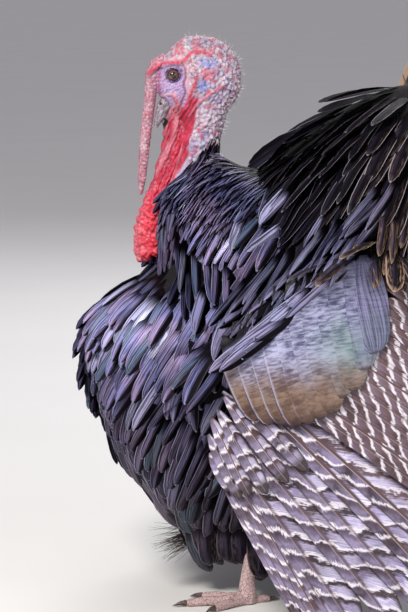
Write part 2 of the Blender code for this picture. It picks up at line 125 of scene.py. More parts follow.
class Recipe:
    """Writes one node tree. add() places a node: its type, its settings, then its sockets' values."""

    def __init__(self, tree):
        self.tree = tree

    def add(self, kind, settings=None, values=None, out=0):
        node = self.tree.nodes.new(kind)
        for name, value in (settings or {}).items():
            setattr(node, name, value)
        for key, value in (values or {}).items():
            if isinstance(value, Wire):
                self.tree.links.new(value.socket, node.inputs[key])
            elif isinstance(value, tuple) and len(value) == 3 and node.inputs[key].type == "RGBA":
                node.inputs[key].default_value = (*value, 1.0)
            else:
                node.inputs[key].default_value = value
        return Wire(self, node.outputs[out])

    def mix(self, share, a, b):
        """Colour a where share is 0, and b where it is 1."""
        return self.add("ShaderNodeMix", {"data_type": "RGBA"}, {0: share, 6: a, 7: b}, out=2)

    def noise(self, place, scale, detail=2.0, rough=0.5):
        values = {"Vector": place, "Scale": scale, "Detail": detail, "Roughness": rough}
        return self.add("ShaderNodeTexNoise", {}, values)

    def cells(self, place, scale, feature="F1"):
        return self.add("ShaderNodeTexVoronoi", {"feature": feature}, {"Vector": place, "Scale": scale})

    def join(self, x, y, z):
        return self.add("ShaderNodeCombineXYZ", {}, {0: x, 1: y, 2: z})

    def read(self, name, kind="Vector"):
        """A value that the mesh carries under this name."""
        return self.add("ShaderNodeAttribute", {"attribute_name": name}, out=kind)

    def here(self):
        return self.add("ShaderNodeTexCoord", out="Object")

    def bump(self, height, strength, distance):
        return self.add("ShaderNodeBump", {}, {"Height": height, "Strength": strength, "Distance": distance})


def finish(name, **plain):
    """A new material, with its recipe. plain holds the shader's values that are the same all over."""
    made = bpy.data.materials.new(name)
    made.use_nodes = True
    shader = made.node_tree.nodes["Principled BSDF"]
    for key, value in plain.items():
        shader.inputs[key.replace("_", " ").title().replace("Ior", "IOR")].default_value = value
    return made, Recipe(made.node_tree), shader


def wear(recipe, shader, **wires):
    """Links what changes over the surface to the shader."""
    for key, wire in wires.items():
        recipe.tree.links.new(wire.socket, shader.inputs[key.replace("_", " ").title()])


def mesh_object(name, points, faces):
    mesh = bpy.data.meshes.new(name)
    mesh.from_pydata([tuple(p) for p in points], [], [tuple(f) for f in faces])
    mesh.shade_smooth()
    made = bpy.data.objects.new(name, mesh)
    bpy.context.scene.collection.objects.link(made)
    return made


def soft_lamp(name, place, size, power, colour):
    lamp = bpy.data.lights.new(name, "AREA")
    lamp.shape, lamp.size, lamp.energy, lamp.color = "DISK", size, power, colour
    made = bpy.data.objects.new(name, lamp)
    made.location = place
    made.rotation_euler = (LOOK_AT - Vector(place)).to_track_quat("-Z", "Y").to_euler()
    bpy.context.scene.collection.objects.link(made)


FLOOR_HALF = 60.0
corners = [(x * FLOOR_HALF, y * FLOOR_HALF, 0.0) for x, y in ((-1, -1), (1, -1), (1, 1), (-1, 1))]
floor = mesh_object("floor", corners, [(0, 1, 2, 3)])
floor_finish, recipe, shader = finish("studio_floor", roughness=0.85)
tone = recipe.noise(recipe.here(), 3.0)
wear(recipe, shader, base_color=recipe.mix(tone, (0.74, 0.725, 0.70), (0.79, 0.775, 0.75)))
floor.data.materials.append(floor_finish)

room = bpy.data.worlds.new("room")
room.use_nodes = True
room.node_tree.nodes["Background"].inputs["Color"].default_value = (0.92, 0.91, 1.0, 1.0)
room.node_tree.nodes["Background"].inputs["Strength"].default_value = 0.42
bpy.context.scene.world = room
bpy.context.scene.view_settings.view_transform = "Standard"
soft_lamp("key_lamp", (-1.6, -2.3, 2.6), 1.1, 140.0, (1.0, 0.97, 0.93))
soft_lamp("fill_lamp", (1.8, -2.4, 1.2), 2.2, 28.0, (0.85, 0.9, 1.0))
soft_lamp("back_lamp", (0.9, 2.4, 2.2), 1.6, 38.0, (0.95, 0.97, 1.0))

around, up = LOOK_FROM
back = Vector((math.sin(around) * math.cos(up), -math.cos(around) * math.cos(up), math.sin(up)))
lens = bpy.data.cameras.new("camera")
lens.sensor_width = SENSOR
lens.lens = SENSOR * CAMERA_AWAY / VIEW_HEIGHT
camera = bpy.data.objects.new("camera", lens)
camera.location = LOOK_AT + back * CAMERA_AWAY
camera.rotation_euler = back.to_track_quat("Z", "Y").to_euler()
bpy.context.scene.collection.objects.link(camera)
bpy.context.scene.camera = camera

# ---------------------------------------------------------------- skin
# One skin goes over the whole bird: plain under the coat, wrinkled and beaded where it is bare on the
# head, throat and snood, and scaled on the shanks and toes. It is cast in one piece in a museum model.
SIDES = (("left", -1.0), ("right", 1.0))  # with the sign of y on each
COAT_DEPTH = 0.020  # how far the trunk's skin lies inside the tips of its feathers
FLESH_VOXEL, BODY_VOXEL, LEG_VOXEL = 0.0070, 0.0065, 0.0015
HEAD_BASE_VOXEL, SNOOD_VOXEL, HEAD_VOXEL = 0.0024, 0.0012, 0.0011
ARM_DEPTH = 0.004
ARM_COPIES = (0.0, 0.020, 0.036)  # the arm, and inward of it the flesh that ties it to the trunk
NECK_MOVED_BACK = 0.014  # how far the neck's foot reaches into the mantle


def smooth(value, low, high):
    t = np.clip((value - low) / (high - low), 0.0, 1.0)
    return t * t * (3.0 - 2.0 * t)


def coordinates(mesh):
    found = np.empty(len(mesh.vertices) * 3, np.float32)
    mesh.vertices.foreach_get("co", found)
    return found.reshape(-1, 3).astype(float)


def normals(mesh):
    found = np.empty(len(mesh.vertices) * 3, np.float32)
    mesh.vertex_normals.foreach_get("vector", found)
    return found.reshape(-1, 3).astype(float)


def move_to(mesh, points):
    mesh.vertices.foreach_set("co", np.asarray(points, np.float32).ravel())
    mesh.update()


def carry(made, name, values, kind="FLOAT", domain="POINT"):
    """Stores values on an object's mesh, for its material or its feathers to read."""
    layer = made.data.attributes.new(name, kind, domain)
    values = np.asarray(values, bool if kind == "BOOLEAN" else np.float32)
    layer.data.foreach_set("vector" if kind == "FLOAT_VECTOR" else "value", values.ravel())


def dress(made, material, slot, *nodes):
    """Gives a piece its material and hides the solids that it stands for. slot is not used."""
    made.data.materials.clear()
    made.data.materials.append(material)
    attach(made, "root")
    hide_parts(*nodes)


def merged_copy(*nodes):
    """A closed mesh of copies of CAD solids, each drawn together along its edges."""
    joined = bmesh.new()
    for node in nodes:
        joined.from_mesh(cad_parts[node].data)
    bmesh.ops.remove_doubles(joined, verts=joined.verts, dist=2e-5)
    bmesh.ops.recalc_face_normals(joined, faces=joined.faces)
    mesh = bpy.data.meshes.new(nodes[0] + "_copy")
    joined.to_mesh(mesh)
    joined.free()
    made = bpy.data.objects.new(mesh.name, mesh)
    bpy.context.scene.collection.objects.link(made)
    return made


def shaped(made, *steps):
    """Puts modifiers on a mesh, each a type and its settings, and keeps what they make of it."""
    for kind, settings in steps:
        modifier = made.modifiers.new(kind.lower(), kind)
        for name, value in settings.items():
            setattr(modifier, name, value)
    graph = bpy.context.evaluated_depsgraph_get()
    mesh = bpy.data.meshes.new_from_object(made.evaluated_get(graph))
    made.modifiers.clear()
    made.data = mesh
    return made


def voxels(size):
    return "REMESH", {"mode": "VOXEL", "voxel_size": size, "use_smooth_shade": True}


def softened(times):
    return "SMOOTH", {"factor": 0.5, "iterations": times}


def drawn_in(made, depth):
    """Moves a mesh inwards. depth is a distance, or a function of the points."""
    points = coordinates(made.data)
    by = depth(points)[:, None] if callable(depth) else depth
    move_to(made.data, points - normals(made.data) * by)
    return made


def one_mesh(name, *parts):
    """Joins objects under one name, in the first of them."""
    bpy.ops.object.select_all(action="DESELECT")
    for part in parts:
        part.select_set(True)
    bpy.context.view_layer.objects.active = parts[0]
    bpy.ops.object.join()
    parts[0].name = name
    return parts[0]


def moved(made, change):
    move_to(made.data, change(coordinates(made.data)))
    return made


def depth_under(points):
    """How deep the coat is: thin on the neck's back and low on the thighs, deep on the trunk."""
    x, z = points[:, 0], points[:, 2]
    on_mantle = smooth(z, 0.42, 0.47) * smooth(x, -0.06, -0.09)
    over_nape = smooth(z, 0.46, 0.51) * smooth(x, -0.06, -0.09)
    low = smooth(z, 0.115, 0.075) * smooth(x, -0.20, -0.16)
    return COAT_DEPTH - 0.008 * on_mantle - 0.009 * over_nape - 0.016 * low


FLESH = ("trunk", "breast", "rump", "mantle", "undertail", "thigh_left", "thigh_right")
parts = [drawn_in(shaped(merged_copy(*FLESH), voxels(FLESH_VOXEL), softened(6)), depth_under)]
for side, sign in SIDES:
    for inward in ARM_COPIES:
        arm = drawn_in(merged_copy(f"wing_{side}_arm"), ARM_DEPTH)
        parts.append(moved(arm, lambda p, by=inward * sign: p - np.array((0.0, by, 0.0))))
body_skin = shaped(one_mesh("body_skin", *parts), voxels(BODY_VOXEL), softened(4))


def neck_rooted(points):
    """The neck with its foot moved back into the mantle."""
    points[:, 0] += NECK_MOVED_BACK * smooth(points[:, 2], 0.500, 0.455)
    return points


def curve_through(line, each=14):
    """Points close together along a smooth curve through the points of a line."""
    line = np.array(line, float)
    held = np.vstack((2 * line[0] - line[1], line, 2 * line[-1] - line[-2]))
    found = []
    for a, b, c, d in zip(held, held[1:], held[2:], held[3:], strict=False):
        for t in np.linspace(0, 1, each, endpoint=False):
            bend = 2 * a - 5 * b + 4 * c - d, 3 * b - a - 3 * c + d
            found.append((2 * b + (c - a) * t + bend[0] * t**2 + bend[1] * t**3) / 2)
    return np.array([*found, line[-1]])


def lumps_along(line, thick):
    """Overlapping round lumps along a curve of (x, z, size), each thick times as wide as it is deep."""
    joined = bmesh.new()
    for x, z, size in curve_through(line, 6):
        turned = Matrix.Translation((x, 0.0, z)) @ Matrix.Diagonal((size, size * thick, size, 1.0))
        bmesh.ops.create_icosphere(joined, subdivisions=2, radius=1.0, matrix=turned)
    mesh = bpy.data.meshes.new("lumps")
    joined.to_mesh(mesh)
    joined.free()
    made = bpy.data.objects.new("lumps", mesh)
    bpy.context.scene.collection.objects.link(made)
    return made


# The dewlap: loose skin from the corners of the gape down the front of the throat, as (x, z, size).
DEWLAP = (
    (-0.1700, 0.5850, 0.0045),
    (-0.1765, 0.5740, 0.0046),
    (-0.1778, 0.5600, 0.0050),
    (-0.1765, 0.5450, 0.0056),
    (-0.1785, 0.5240, 0.0062),
    (-0.1835, 0.5030, 0.0068),
    (-0.1900, 0.4800, 0.0070),
)
# The web: what fills the throat behind it.
THROAT_WEB = (
    (-0.1660, 0.5800, 0.0050),
    (-0.1690, 0.5680, 0.0062),
    (-0.1700, 0.5560, 0.0066),
    (-0.1710, 0.5420, 0.0066),
    (-0.1730, 0.5280, 0.0066),
)
head_base = shaped(
    one_mesh(
        "head_skin",
        merged_copy("head", "neck"),
        merged_copy("wattle"),
        moved(merged_copy("neck"), neck_rooted),
        lumps_along(DEWLAP, 1.15),
        lumps_along(THROAT_WEB, 1.0),
    ),
    voxels(HEAD_BASE_VOXEL),
    softened(10),
)
snood_base = shaped(merged_copy("snood"), voxels(SNOOD_VOXEL), softened(8))
head_skin = shaped(one_mesh("head_skin", head_base, snood_base), voxels(HEAD_VOXEL), softened(3))
legs = [merged_copy(f"{part}_{side}") for part in ("shank", "foot") for side, sign in SIDES]
leg_skin = shaped(one_mesh("leg_skin", *legs), voxels(LEG_VOXEL), softened(5))
for other in (head_skin, leg_skin):
    shaped(body_skin, ("BOOLEAN", {"operation": "UNION", "solver": "MANIFOLD", "object": other}))
    bpy.data.objects.remove(other)
skin = body_skin
skin.name = "skin"

# The eyes' places, and lines of folds and creases over the face, each through points (x, z) seen from
# the side, with its width, its height (a crease is below 0) and the share of each colour that it takes:
# the creases take painted shade, and some folds take pale with painted highlights on their tops.
EYE = {side: sum(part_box(f"eye_{side}"), Vector()) / 2 for side, sign in SIDES}
EYE_RADIUS = (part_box("eye_left")[1].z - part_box("eye_left")[0].z) / 2
EYE_OPENING = (0.0065, 0.0060)  # half its width and half its height
EYE_MARK = (-0.1762, 0.6205)  # the middle of the rings of wrinkles round the eye, as (x, z)
LID = 0.0011  # how far the lids lie outside the eye
BROW = ((-0.2000, 0.6130), (-0.1870, 0.6232), (-0.1750, 0.6262), (-0.1643, 0.6272), (-0.1567, 0.6323),
        (-0.1516, 0.6371), (-0.1440, 0.6383), (-0.1314, 0.6344))
UNDER_BROW = ((-0.1985, 0.6085), (-0.1930, 0.6145), (-0.1870, 0.6190), (-0.1760, 0.6225), (-0.1645, 0.6232))
CHEEK_CREASE = ((-0.1640, 0.6275), (-0.1608, 0.6195), (-0.1600, 0.6100), (-0.1622, 0.6010), (-0.1598, 0.5920),
                (-0.1630, 0.5830), (-0.1650, 0.5703), (-0.1690, 0.5580))
CHEEK_FOLD = ((-0.1468, 0.6102), (-0.1509, 0.5989), (-0.1551, 0.5875), (-0.1590, 0.5761), (-0.1629, 0.5647),
              (-0.1680, 0.5520))
NAPE_FOLD = ((-0.1173, 0.5995), (-0.1267, 0.5939), (-0.1373, 0.5866), (-0.1467, 0.5781), (-0.1540, 0.5650))
GAPE_FOLD = ((-0.1710, 0.5880), (-0.1672, 0.5790), (-0.1661, 0.5650), (-0.1675, 0.5526), (-0.1730, 0.5377),
             (-0.1814, 0.5171), (-0.1909, 0.4977), (-0.2015, 0.4771))
THROAT_CREASE = ((-0.1790, 0.5720), (-0.1765, 0.5600), (-0.1747, 0.5500), (-0.1760, 0.5370))
THROAT_FOLD = ((-0.1530, 0.5520), (-0.1600, 0.5370), (-0.1685, 0.5220), (-0.1725, 0.5031), (-0.1850, 0.4800),
               (-0.1930, 0.4600))
LIP = ((-0.1880, 0.5860), (-0.1830, 0.5880), (-0.1770, 0.5895), (-0.1720, 0.5890), (-0.1690, 0.5860))
FOLD_COLOURS = ("red", "blue", "pale", "lilac", "dark")
#       line            width    height   red   blue  pale (with highlights)  lilac  painted shade
FOLDS = (
    (LIP,            0.0015,  0.0010, (0.35, 0.00, 0.75, 0.00, 0.00)),
    (BROW,           0.0022,  0.0021, (0.95, 0.00, 0.00, 0.00, 0.00)),
    (UNDER_BROW,     0.0011, -0.0009, (0.00, 0.00, 0.00, 0.60, 0.80)),
    (CHEEK_CREASE,   0.0011, -0.0018, (0.35, 0.00, 0.00, 0.30, 0.70)),
    (CHEEK_FOLD,     0.0017,  0.0019, (0.95, 0.00, 0.00, 0.00, 0.00)),
    (NAPE_FOLD,      0.0016,  0.0014, (0.70, 0.00, 0.20, 0.00, 0.00)),
    (GAPE_FOLD,      0.0034,  0.0026, (0.62, 0.00, 0.35, 0.00, 0.00)),
    (THROAT_CREASE,  0.0022, -0.0018, (1.00, 0.00, 0.00, 0.00, 0.35)),
    (THROAT_FOLD,    0.0030,  0.0017, (1.00, 0.00, 0.00, 0.00, 0.00)),
)


def near(points, place, reach):
    """1 at a place, easing to 0 at a distance. place and reach are (x, z)."""
    away = ((points[:, 0] - place[0]) / reach[0]) ** 2 + ((points[:, 2] - place[1]) / reach[1]) ** 2
    return smooth(np.sqrt(away), 1.0, 0.45)


FURTHEST = 0.03  # how far away a surface is looked for


def surface_of(mesh):
    """A mesh as a tree that rays and nearest points are looked up in."""
    return BVHTree.FromPolygons(coordinates(mesh).tolist(), [tuple(p.vertices) for p in mesh.polygons])


def gap_to(tree, points):
    """How far each point is from a surface, or the furthest that is looked for."""
    found = (tree.find_nearest(p, FURTHEST)[3] for p in points.tolist())
    return np.array([FURTHEST if gap is None else gap for gap in found])


def spread_out(points, chosen, spacing, seed):
    """Some of the chosen points, in a random order, none nearer to another than the spacing."""
    order = np.random.default_rng(seed).permutation(chosen)
    cells, taken = {}, []
    around = [(a, b, c) for a in (-1, 0, 1) for b in (-1, 0, 1) for c in (-1, 0, 1)]
    for i in order.tolist():
        x, y, z = points[i]
        key = (int(x // spacing), int(y // spacing), int(z // spacing))
        close = (points[j] for a, b, c in around for j in cells.get((key[0] + a, key[1] + b, key[2] + c), ()))
        if all((p[0] - x) ** 2 + (p[1] - y) ** 2 + (p[2] - z) ** 2 > spacing**2 for p in close):
            cells.setdefault(key, []).append(i)
            taken.append(i)
    return taken


def beads(points, chosen, spacing, seed):
    """How near each point is to one of many bead tops, 1 at a top and 0 between, and a chance from 0 to 1
    that is the bead's own. Only on the chosen points."""
    found, chance = np.zeros(len(points)), np.zeros(len(points))
    places = np.flatnonzero(chosen)
    tops = spread_out(points, places, spacing, seed)
    tree = KDTree(len(tops))
    for j, i in enumerate(tops):
        tree.insert(points[i], j)
    tree.balance()
    nearest = [tree.find(points[i]) for i in places]
    gaps = np.array([gap for place, j, gap in nearest])
    found[places] = np.sqrt(np.clip(1.0 - (gaps / (0.66 * spacing)) ** 2, 0.0, 1.0))
    chance[places] = np.random.default_rng(seed).random(len(tops))[[j for place, j, gap in nearest]]
    return found, chance


def wavering(points, scale, seed):
    """Slow noise from about -1 to 1, with so many waves to a metre."""
    return np.array([noise.noise(Vector(p) * scale + Vector((seed, seed, 0))) for p in points])


def wobbled_near(places, reach):
    """The same points, each moved by slow noise up to about this far."""
    return places + reach * np.stack([wavering(places, 280, k) for k in (21, 22, 23)], 1)


def highest(*fields):
    return np.maximum.reduce(fields)


# Lines over the bare skin, each as heights z and the x at each of them: where the smooth face ends, where
# the throat's red ends and the neck's grey-blue strip begins, and the middle of the throat's pale strand.
FACE_TO = ((0.585, 0.600, 0.615, 0.626, 0.634), (-0.1545, -0.1565, -0.1585, -0.1610, -0.1660))
RED_TO = (
    (0.400, 0.443, 0.480, 0.502, 0.518, 0.534, 0.550, 0.580, 0.600),
    (-0.190, -0.187, -0.178, -0.166, -0.156, -0.154, -0.149, -0.146, -0.144),
)
STRAND = (
    (0.443, 0.480, 0.505, 0.530, 0.555, 0.575),
    (-0.2140, -0.2040, -0.1960, -0.1900, -0.1830, -0.1740),
)
BARE_WITHIN = 0.012  # how near to the head, neck, wattle or snood the skin has no feathers
points, out = coordinates(skin.data), normals(skin.data)
high = np.flatnonzero((points[:, 2] > 0.32) & (points[:, 0] < -0.05))
gaps = {node: np.full(len(points), FURTHEST) for node in ("head", "neck", "wattle", "snood")}
for node, gap in gaps.items():
    gap[high] = gap_to(surface_of(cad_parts[node].data), points[high])
bare = np.flatnonzero(np.minimum.reduce(list(gaps.values())) < BARE_WITHIN)
P, N = points[bare], out[bare]  # the bare skin's points and the way that each faces
X, Y, Z = P.T
on_snood = smooth(gaps["snood"][bare], 0.0035, 0.0015) * smooth(gaps["head"][bare], 0.0, 0.003)
on_wattle = smooth(gaps["wattle"][bare], 0.004, 0.001) * (1 - on_snood)
on_head = (1 - on_snood) * (1 - on_wattle)
edging = 0.0022 * wavering(P, 120, 14) + 0.0011 * wavering(P, 320, 16)
behind_face = X + edging - np.interp(Z, *FACE_TO)
face = on_head * smooth(behind_face, 0.0, -0.0055) * smooth(Z + edging, 0.572, 0.580)
face = face * smooth(Z, 0.632, 0.624)
crown = on_head * smooth(Z, 0.624, 0.634)
back_of_head = on_head * smooth(X, -0.160, -0.150)
waver = wavering(P, 150, 6)
past_red = X - np.interp(Z, *RED_TO) + 0.0015 * waver
throat = on_head * smooth(past_red, 0.002, -0.002) * smooth(Z, 0.594, 0.582) * (1 - face)
nape = back_of_head * (1 - throat)
scalp = (nape + crown).clip(0, 1)
outer_side = 1 - smooth(np.abs(Y), 0.008, 0.003)
blue_skin = highest(
    near(P, (-0.1330, 0.6290), (0.016, 0.013)),
    near(P, (-0.1403, 0.5998), (0.010, 0.010)),
    0.5 * near(P, (-0.1250, 0.5900), (0.014, 0.012)),
)
blue_skin = blue_skin * back_of_head * outer_side
pink = highest(near(P, (-0.1346, 0.6124), (0.010, 0.009)), 0.7 * near(P, (-0.1274, 0.6151), (0.006, 0.008)))
pink = pink * (back_of_head * outer_side)
tubercles = near(P, (-0.1545, 0.6200), (0.010, 0.017)) * on_head * outer_side
neck_strip = on_head * smooth(Z, 0.545, 0.530) * smooth(past_red, -0.001, 0.002) * (1 - on_wattle)

# Heights: knobs and warts over the scalp, lumps and rings on the wattle and snood, pleats down the throat,
# and fine wrinkles over the face.
wobbled = wobbled_near(P, 0.0016)
knobs, knob_chance = beads(wobbled, nape + crown > 0.3, 0.0046, 1)
warts, wart_chance = beads(wobbled, nape + crown + tubercles > 0.3, 0.0023, 2)
sharp_knobs = knobs**1.5 * (0.3 + 0.7 * knob_chance)
height = sharp_knobs * scalp * (0.0025 - 0.0012 * blue_skin) * (1 - 0.35 * crown)
height += warts * 0.0005 * (nape + crown) + (warts * 0.0010 + sharp_knobs * 0.0012) * tubercles
lumps = beads(P, on_wattle > 0.2, 0.0090, 3)[0]
small_lumps, small_chance = beads(P, on_wattle > 0.2, 0.0036, 4)
swollen = smooth(Z, 0.500, 0.440)
folded = np.sin((Z + 0.8 * X + 0.004 * waver) * 2 * np.pi / 0.0125)
hanging = lumps * 0.0038 + 0.0010 * folded + 0.0005 * small_lumps
height += on_wattle * (hanging * swollen + small_lumps * 0.0007)
rings, ring_chance = beads(wobbled_near(P, 0.0011), on_snood > 0.2, 0.0030, 5)
rings = np.maximum(rings * (0.35 + 0.65 * ring_chance), 0.6 * beads(P, on_snood > 0.2, 0.0017, 6)[0])
height += on_snood * (rings * 0.0008 + 0.0003 * np.sin(Z * 2 * np.pi / 0.0042 + 2 * waver))
domed = near(P, (-0.1500, 0.6480), (0.024, 0.014))
cream_patch = near(P, (-0.1256, 0.5337), (0.0065, 0.0075)) * smooth(np.abs(Y), 0.016, 0.010)
height += 0.0016 * domed + 0.0050 * cream_patch
pleats = np.sin((X - 0.45 * (Z - 0.55) + 0.0016 * waver) * 2 * np.pi / 0.0046)
height += 0.0010 * pleats * np.maximum(throat, on_wattle * (1 - swollen))
throat_beads, throat_chance = beads(P, throat + neck_strip > 0.3, 0.0025, 8)
height += throat_beads * (0.0004 * throat + 0.0008 * neck_strip * throat_chance)
eye_away = np.hypot(X - EYE_MARK[0], Z - EYE_MARK[1])
wrinkled = np.abs(np.sin((Z - 0.5 * X) * 2 * np.pi / 0.0088 + 4.5 * wavering(P, 110, 12)))
ringed = np.abs(np.sin(eye_away * 2 * np.pi / 0.0064 + 2.4 * wavering(P, 170, 13)))
wrinkled = np.minimum(wrinkled, 1 - (1 - ringed) * smooth(eye_away, 0.024, 0.014))
height -= 0.0009 * face * (1 - wrinkled) ** 1.5

# Colours: how much of each the skin takes, from 0 to 1. The pale share also holds painted highlights on the
# tops of lumps, pleats and wrinkles, and the dark share is shade painted into creases and between knobs,
# warts, rings and lumps.
off_strand = (X - np.interp(Z, *STRAND) + 0.0015 * waver) / 0.0060
strand = np.exp(-(off_strand**2)) * np.maximum(throat, on_wattle)
red_knobs = (knob_chance < 0.09 + 0.28 * crown) * knobs**1.5
red_warts = (wart_chance < 0.10 + 0.22 * crown) * warts**1.5
mottled = wavering(P, 75, 15)
between = (1 - knobs) * (1 - warts)
raised = np.maximum(warts, knobs)
# Painted highlights: the red gives way to pale on the tops of some of the wattle's small lumps.
on_wattle_red = on_wattle * (1 - 0.35 * smooth(small_lumps, 0.6, 1.0) * smooth(small_chance, 0.5, 0.9))
nape_pale = nape * np.maximum(knobs**1.6, 0.55 * warts) * (0.75 + 0.25 * knob_chance)
colours = {
    "red": highest(
        throat * (0.97 + 0.03 * pleats) * (1 - 0.45 * strand),
        0.55 * pink,
        on_wattle_red * (1 - 0.35 * strand),
        0.85 * scalp * np.maximum(red_knobs, red_warts * (1 - blue_skin)),
        0.35 * tubercles * (1 - warts),
        0.45 * face * smooth(X + 2 * edging, -0.1850, -0.1910),
        0.12 * crown * smooth(mottled, 0.0, 0.4),
        on_snood * (0.70 - 0.62 * rings + 0.20 * mottled),
    ),
    "blue": highest(
        blue_skin * (1 - 0.35 * warts),
        0.70 * neck_strip * (1 - 0.7 * throat_beads),
        0.65 * nape * (1 - knobs) * smooth(mottled, 0.05, 0.35),
    ),
    # The skin's own pale knobs, crown, snood rings and strand, with painted highlights on the wattle's lumps,
    # the throat's pleats and the face's wrinkles.
    "pale": highest(
        nape_pale * (1 - 0.8 * blue_skin) * (1 - 0.6 * pink),
        crown * (0.72 + 0.28 * raised),
        tubercles * (0.25 + 0.75 * raised),
        on_snood * (0.30 + 0.6 * rings),
        0.45 * neck_strip * throat_beads,
        0.6 * strand * throat_beads,
        throat * 0.75 * smooth(pleats, 0.4, 1.0) * throat_beads * smooth(mottled, -0.4, 0.2),
        on_wattle * 0.50 * smooth(lumps, 0.5, 1.0) * swollen,
        0.30 * face * smooth(wrinkled, 0.7, 1.0) * smooth(mottled, 0.0, 0.4),
    ),
    "lilac": np.maximum(face, 0.95 * nape * between),
    # Painted shade in the creases of the face and throat, and between knobs, warts, rings and lumps.
    "dark": highest(
        0.75 * face * (1 - wrinkled) ** 3,
        0.70 * nape * between,
        0.75 * throat * smooth(pleats, -0.2, -1.0),
        0.55 * on_snood * (1 - rings) ** 2,
        0.60 * crown * between,
        0.42 * on_wattle * (1 - small_lumps) ** 1.5,
    ),
    "cream": cream_patch,
}
bare_surface = surface_of(skin.data)
uneven = wavering(P, 260, 9)
for side, sign in SIDES:
    here = smooth(Y * sign, 0.001, 0.006)
    for line, width, rise, taken in FOLDS:
        seen = [bare_surface.ray_cast((x, 0.2 * sign, z), (0, -sign, 0))[0] for x, z in curve_through(line)]
        seen = np.array([tuple(p) for p in seen if p is not None])
        away = np.sqrt(((P[:, None, :] - seen[None, :, :]) ** 2).sum(2).min(1)) * (1 + 0.5 * uneven)
        share = np.exp(-((away / width) ** 2)) * here
        height += rise * share * (1 + 0.6 * uneven)
        for name, value in zip(FOLD_COLOURS, taken, strict=True):
            colours[name] = colours[name] * (1 - share) + value * share
P = P + N * height[:, None]

# The lids are a ball a little larger than the eye, open in front of it, with creases round them.
lid_edge = np.zeros(len(P))
for side, sign in SIDES:
    middle, (half_width, half_height) = EYE[side], EYE_OPENING
    across, upright, outward = P[:, 0] - middle.x, P[:, 2] - middle.z, (P[:, 1] - middle.y) * sign
    open_at = np.sqrt((across / half_width) ** 2 + (upright / half_height) ** 2)
    outer = outward > -0.002
    away = across**2 + upright**2
    lid = np.sqrt(np.clip((EYE_RADIUS + LID) ** 2 - away, 0, None))
    lid = np.where(open_at < 1.0, EYE_RADIUS * 0.35, lid)
    held = smooth(open_at, 1.75, 1.30) * outer
    on_lid = smooth(open_at, 2.6, 1.3) * (open_at > 1.0)
    creased = 0.00045 * np.cos((open_at - 1.0) * 2 * np.pi / 0.30) * on_lid
    outward = outward * (1 - held) + lid * held + creased * outer
    P[:, 1] = middle.y + sign * outward
    ring = smooth(open_at, 1.45, 1.10) * outer * smooth(open_at, 0.7, 0.9)
    lid_edge = np.maximum(lid_edge, ring)
    colours["lilac"] = np.maximum(colours["lilac"], smooth(open_at, 2.4, 1.6) * outer)
    colours["pale"] *= 1 - smooth(open_at, 2.2, 1.4) * outer
# Painted shade round the lids' edge, where they fold in to the eye.
colours["dark"] = np.maximum(colours["dark"], 0.35 * lid_edge)
points[bare] = P

move_to(skin.data, points)
for name, values in colours.items():
    whole = np.zeros(len(points))
    whole[bare] = np.clip(values, 0, 1)
    carry(skin, name, whole)
under_coat = points[:, 2] >= 0.075
under_coat[bare] = False
carry(skin, "covered", under_coat)
carry(skin, "leg", points[:, 2] < 0.08)

skin_finish, recipe, shader = finish("bare_skin", specular_ior_level=0.45)
place = recipe.here()
red, blue, pale, lilac, dark, cream, covered, leg = (
    recipe.read(name, "Fac") for name in (*colours, "covered", "leg")
)
fine = recipe.noise(place, 420.0, 3.0, 0.6)
patchy = recipe.noise(place, 90.0, 3.0, 0.6)
spots = recipe.cells(place, 330.0).step(0.34, 0.16)
crackle = recipe.cells(place + recipe.noise(place, 200.0) * 0.004, 330.0, "DISTANCE_TO_EDGE").step(0.0, 0.16)
colour = recipe.mix(patchy, (0.46, 0.25, 0.31), (0.60, 0.40, 0.47))
violet = recipe.mix(patchy, recipe.mix(fine, (0.24, 0.17, 0.42), (0.44, 0.32, 0.60)), (0.52, 0.36, 0.55))
colour = recipe.mix(lilac, colour, recipe.mix((1 - crackle) * 0.55, violet, (0.13, 0.07, 0.20)))
colour = recipe.mix(blue, colour, recipe.mix(fine, (0.07, 0.12, 0.40), (0.28, 0.37, 0.68)))
# The pale colour, which also gives the painted highlights.
colour = recipe.mix(pale, colour, recipe.mix(patchy.step(0.3, 0.7), (0.25, 0.24, 0.33), (0.58, 0.55, 0.58)))
blush = spots * pale * patchy.step(0.46, 0.60)
colour = recipe.mix(blush * 0.8, colour, (0.62, 0.05, 0.10))
low_down = place.part(2).step(0.50, 0.44)
deep = recipe.mix(low_down, (0.42, 0.003, 0.028), (0.66, 0.010, 0.030))
crimson = recipe.mix(low_down, (0.58, 0.04, 0.11), (0.80, 0.06, 0.10))
crimson = recipe.mix(patchy.step(0.45, 0.80), deep, crimson)
colour = recipe.mix(red * (fine * 0.5 + 0.75).at_most(1.0), colour, crimson)
# Painted shade: darkest in creases and between bumps.
colour = recipe.mix(dark, colour, (0.055, 0.022, 0.05))
colour = recipe.mix(cream, colour, (0.66, 0.52, 0.27))
scale_edge = recipe.cells(place, 240.0, "DISTANCE_TO_EDGE").step(0.0, 0.10)
scales = recipe.mix(patchy, (0.40, 0.26, 0.27), (0.62, 0.47, 0.46))
colour = recipe.mix(leg, colour, recipe.mix(scale_edge, (0.20, 0.11, 0.10), scales))
down = recipe.noise(place * Vector((240.0, 240.0, 60.0)) + recipe.noise(place, 40.0) * 20.0, 1.0, 3.0, 0.7)
down_colour = recipe.mix(down.step(0.45, 0.75), (0.002, 0.001, 0.002), (0.011, 0.009, 0.014))
colour = recipe.mix(covered, colour, down_colour)
rough = recipe.noise(place, 700.0).step(0.3, 0.7, 0.38, 0.62).at_least(covered)
grain = recipe.cells(place, 950.0) * 0.6 + fine + down * covered * 3.0
wear(recipe, shader, base_color=colour, roughness=rough, normal=recipe.bump(grain, 0.35, 0.0006))
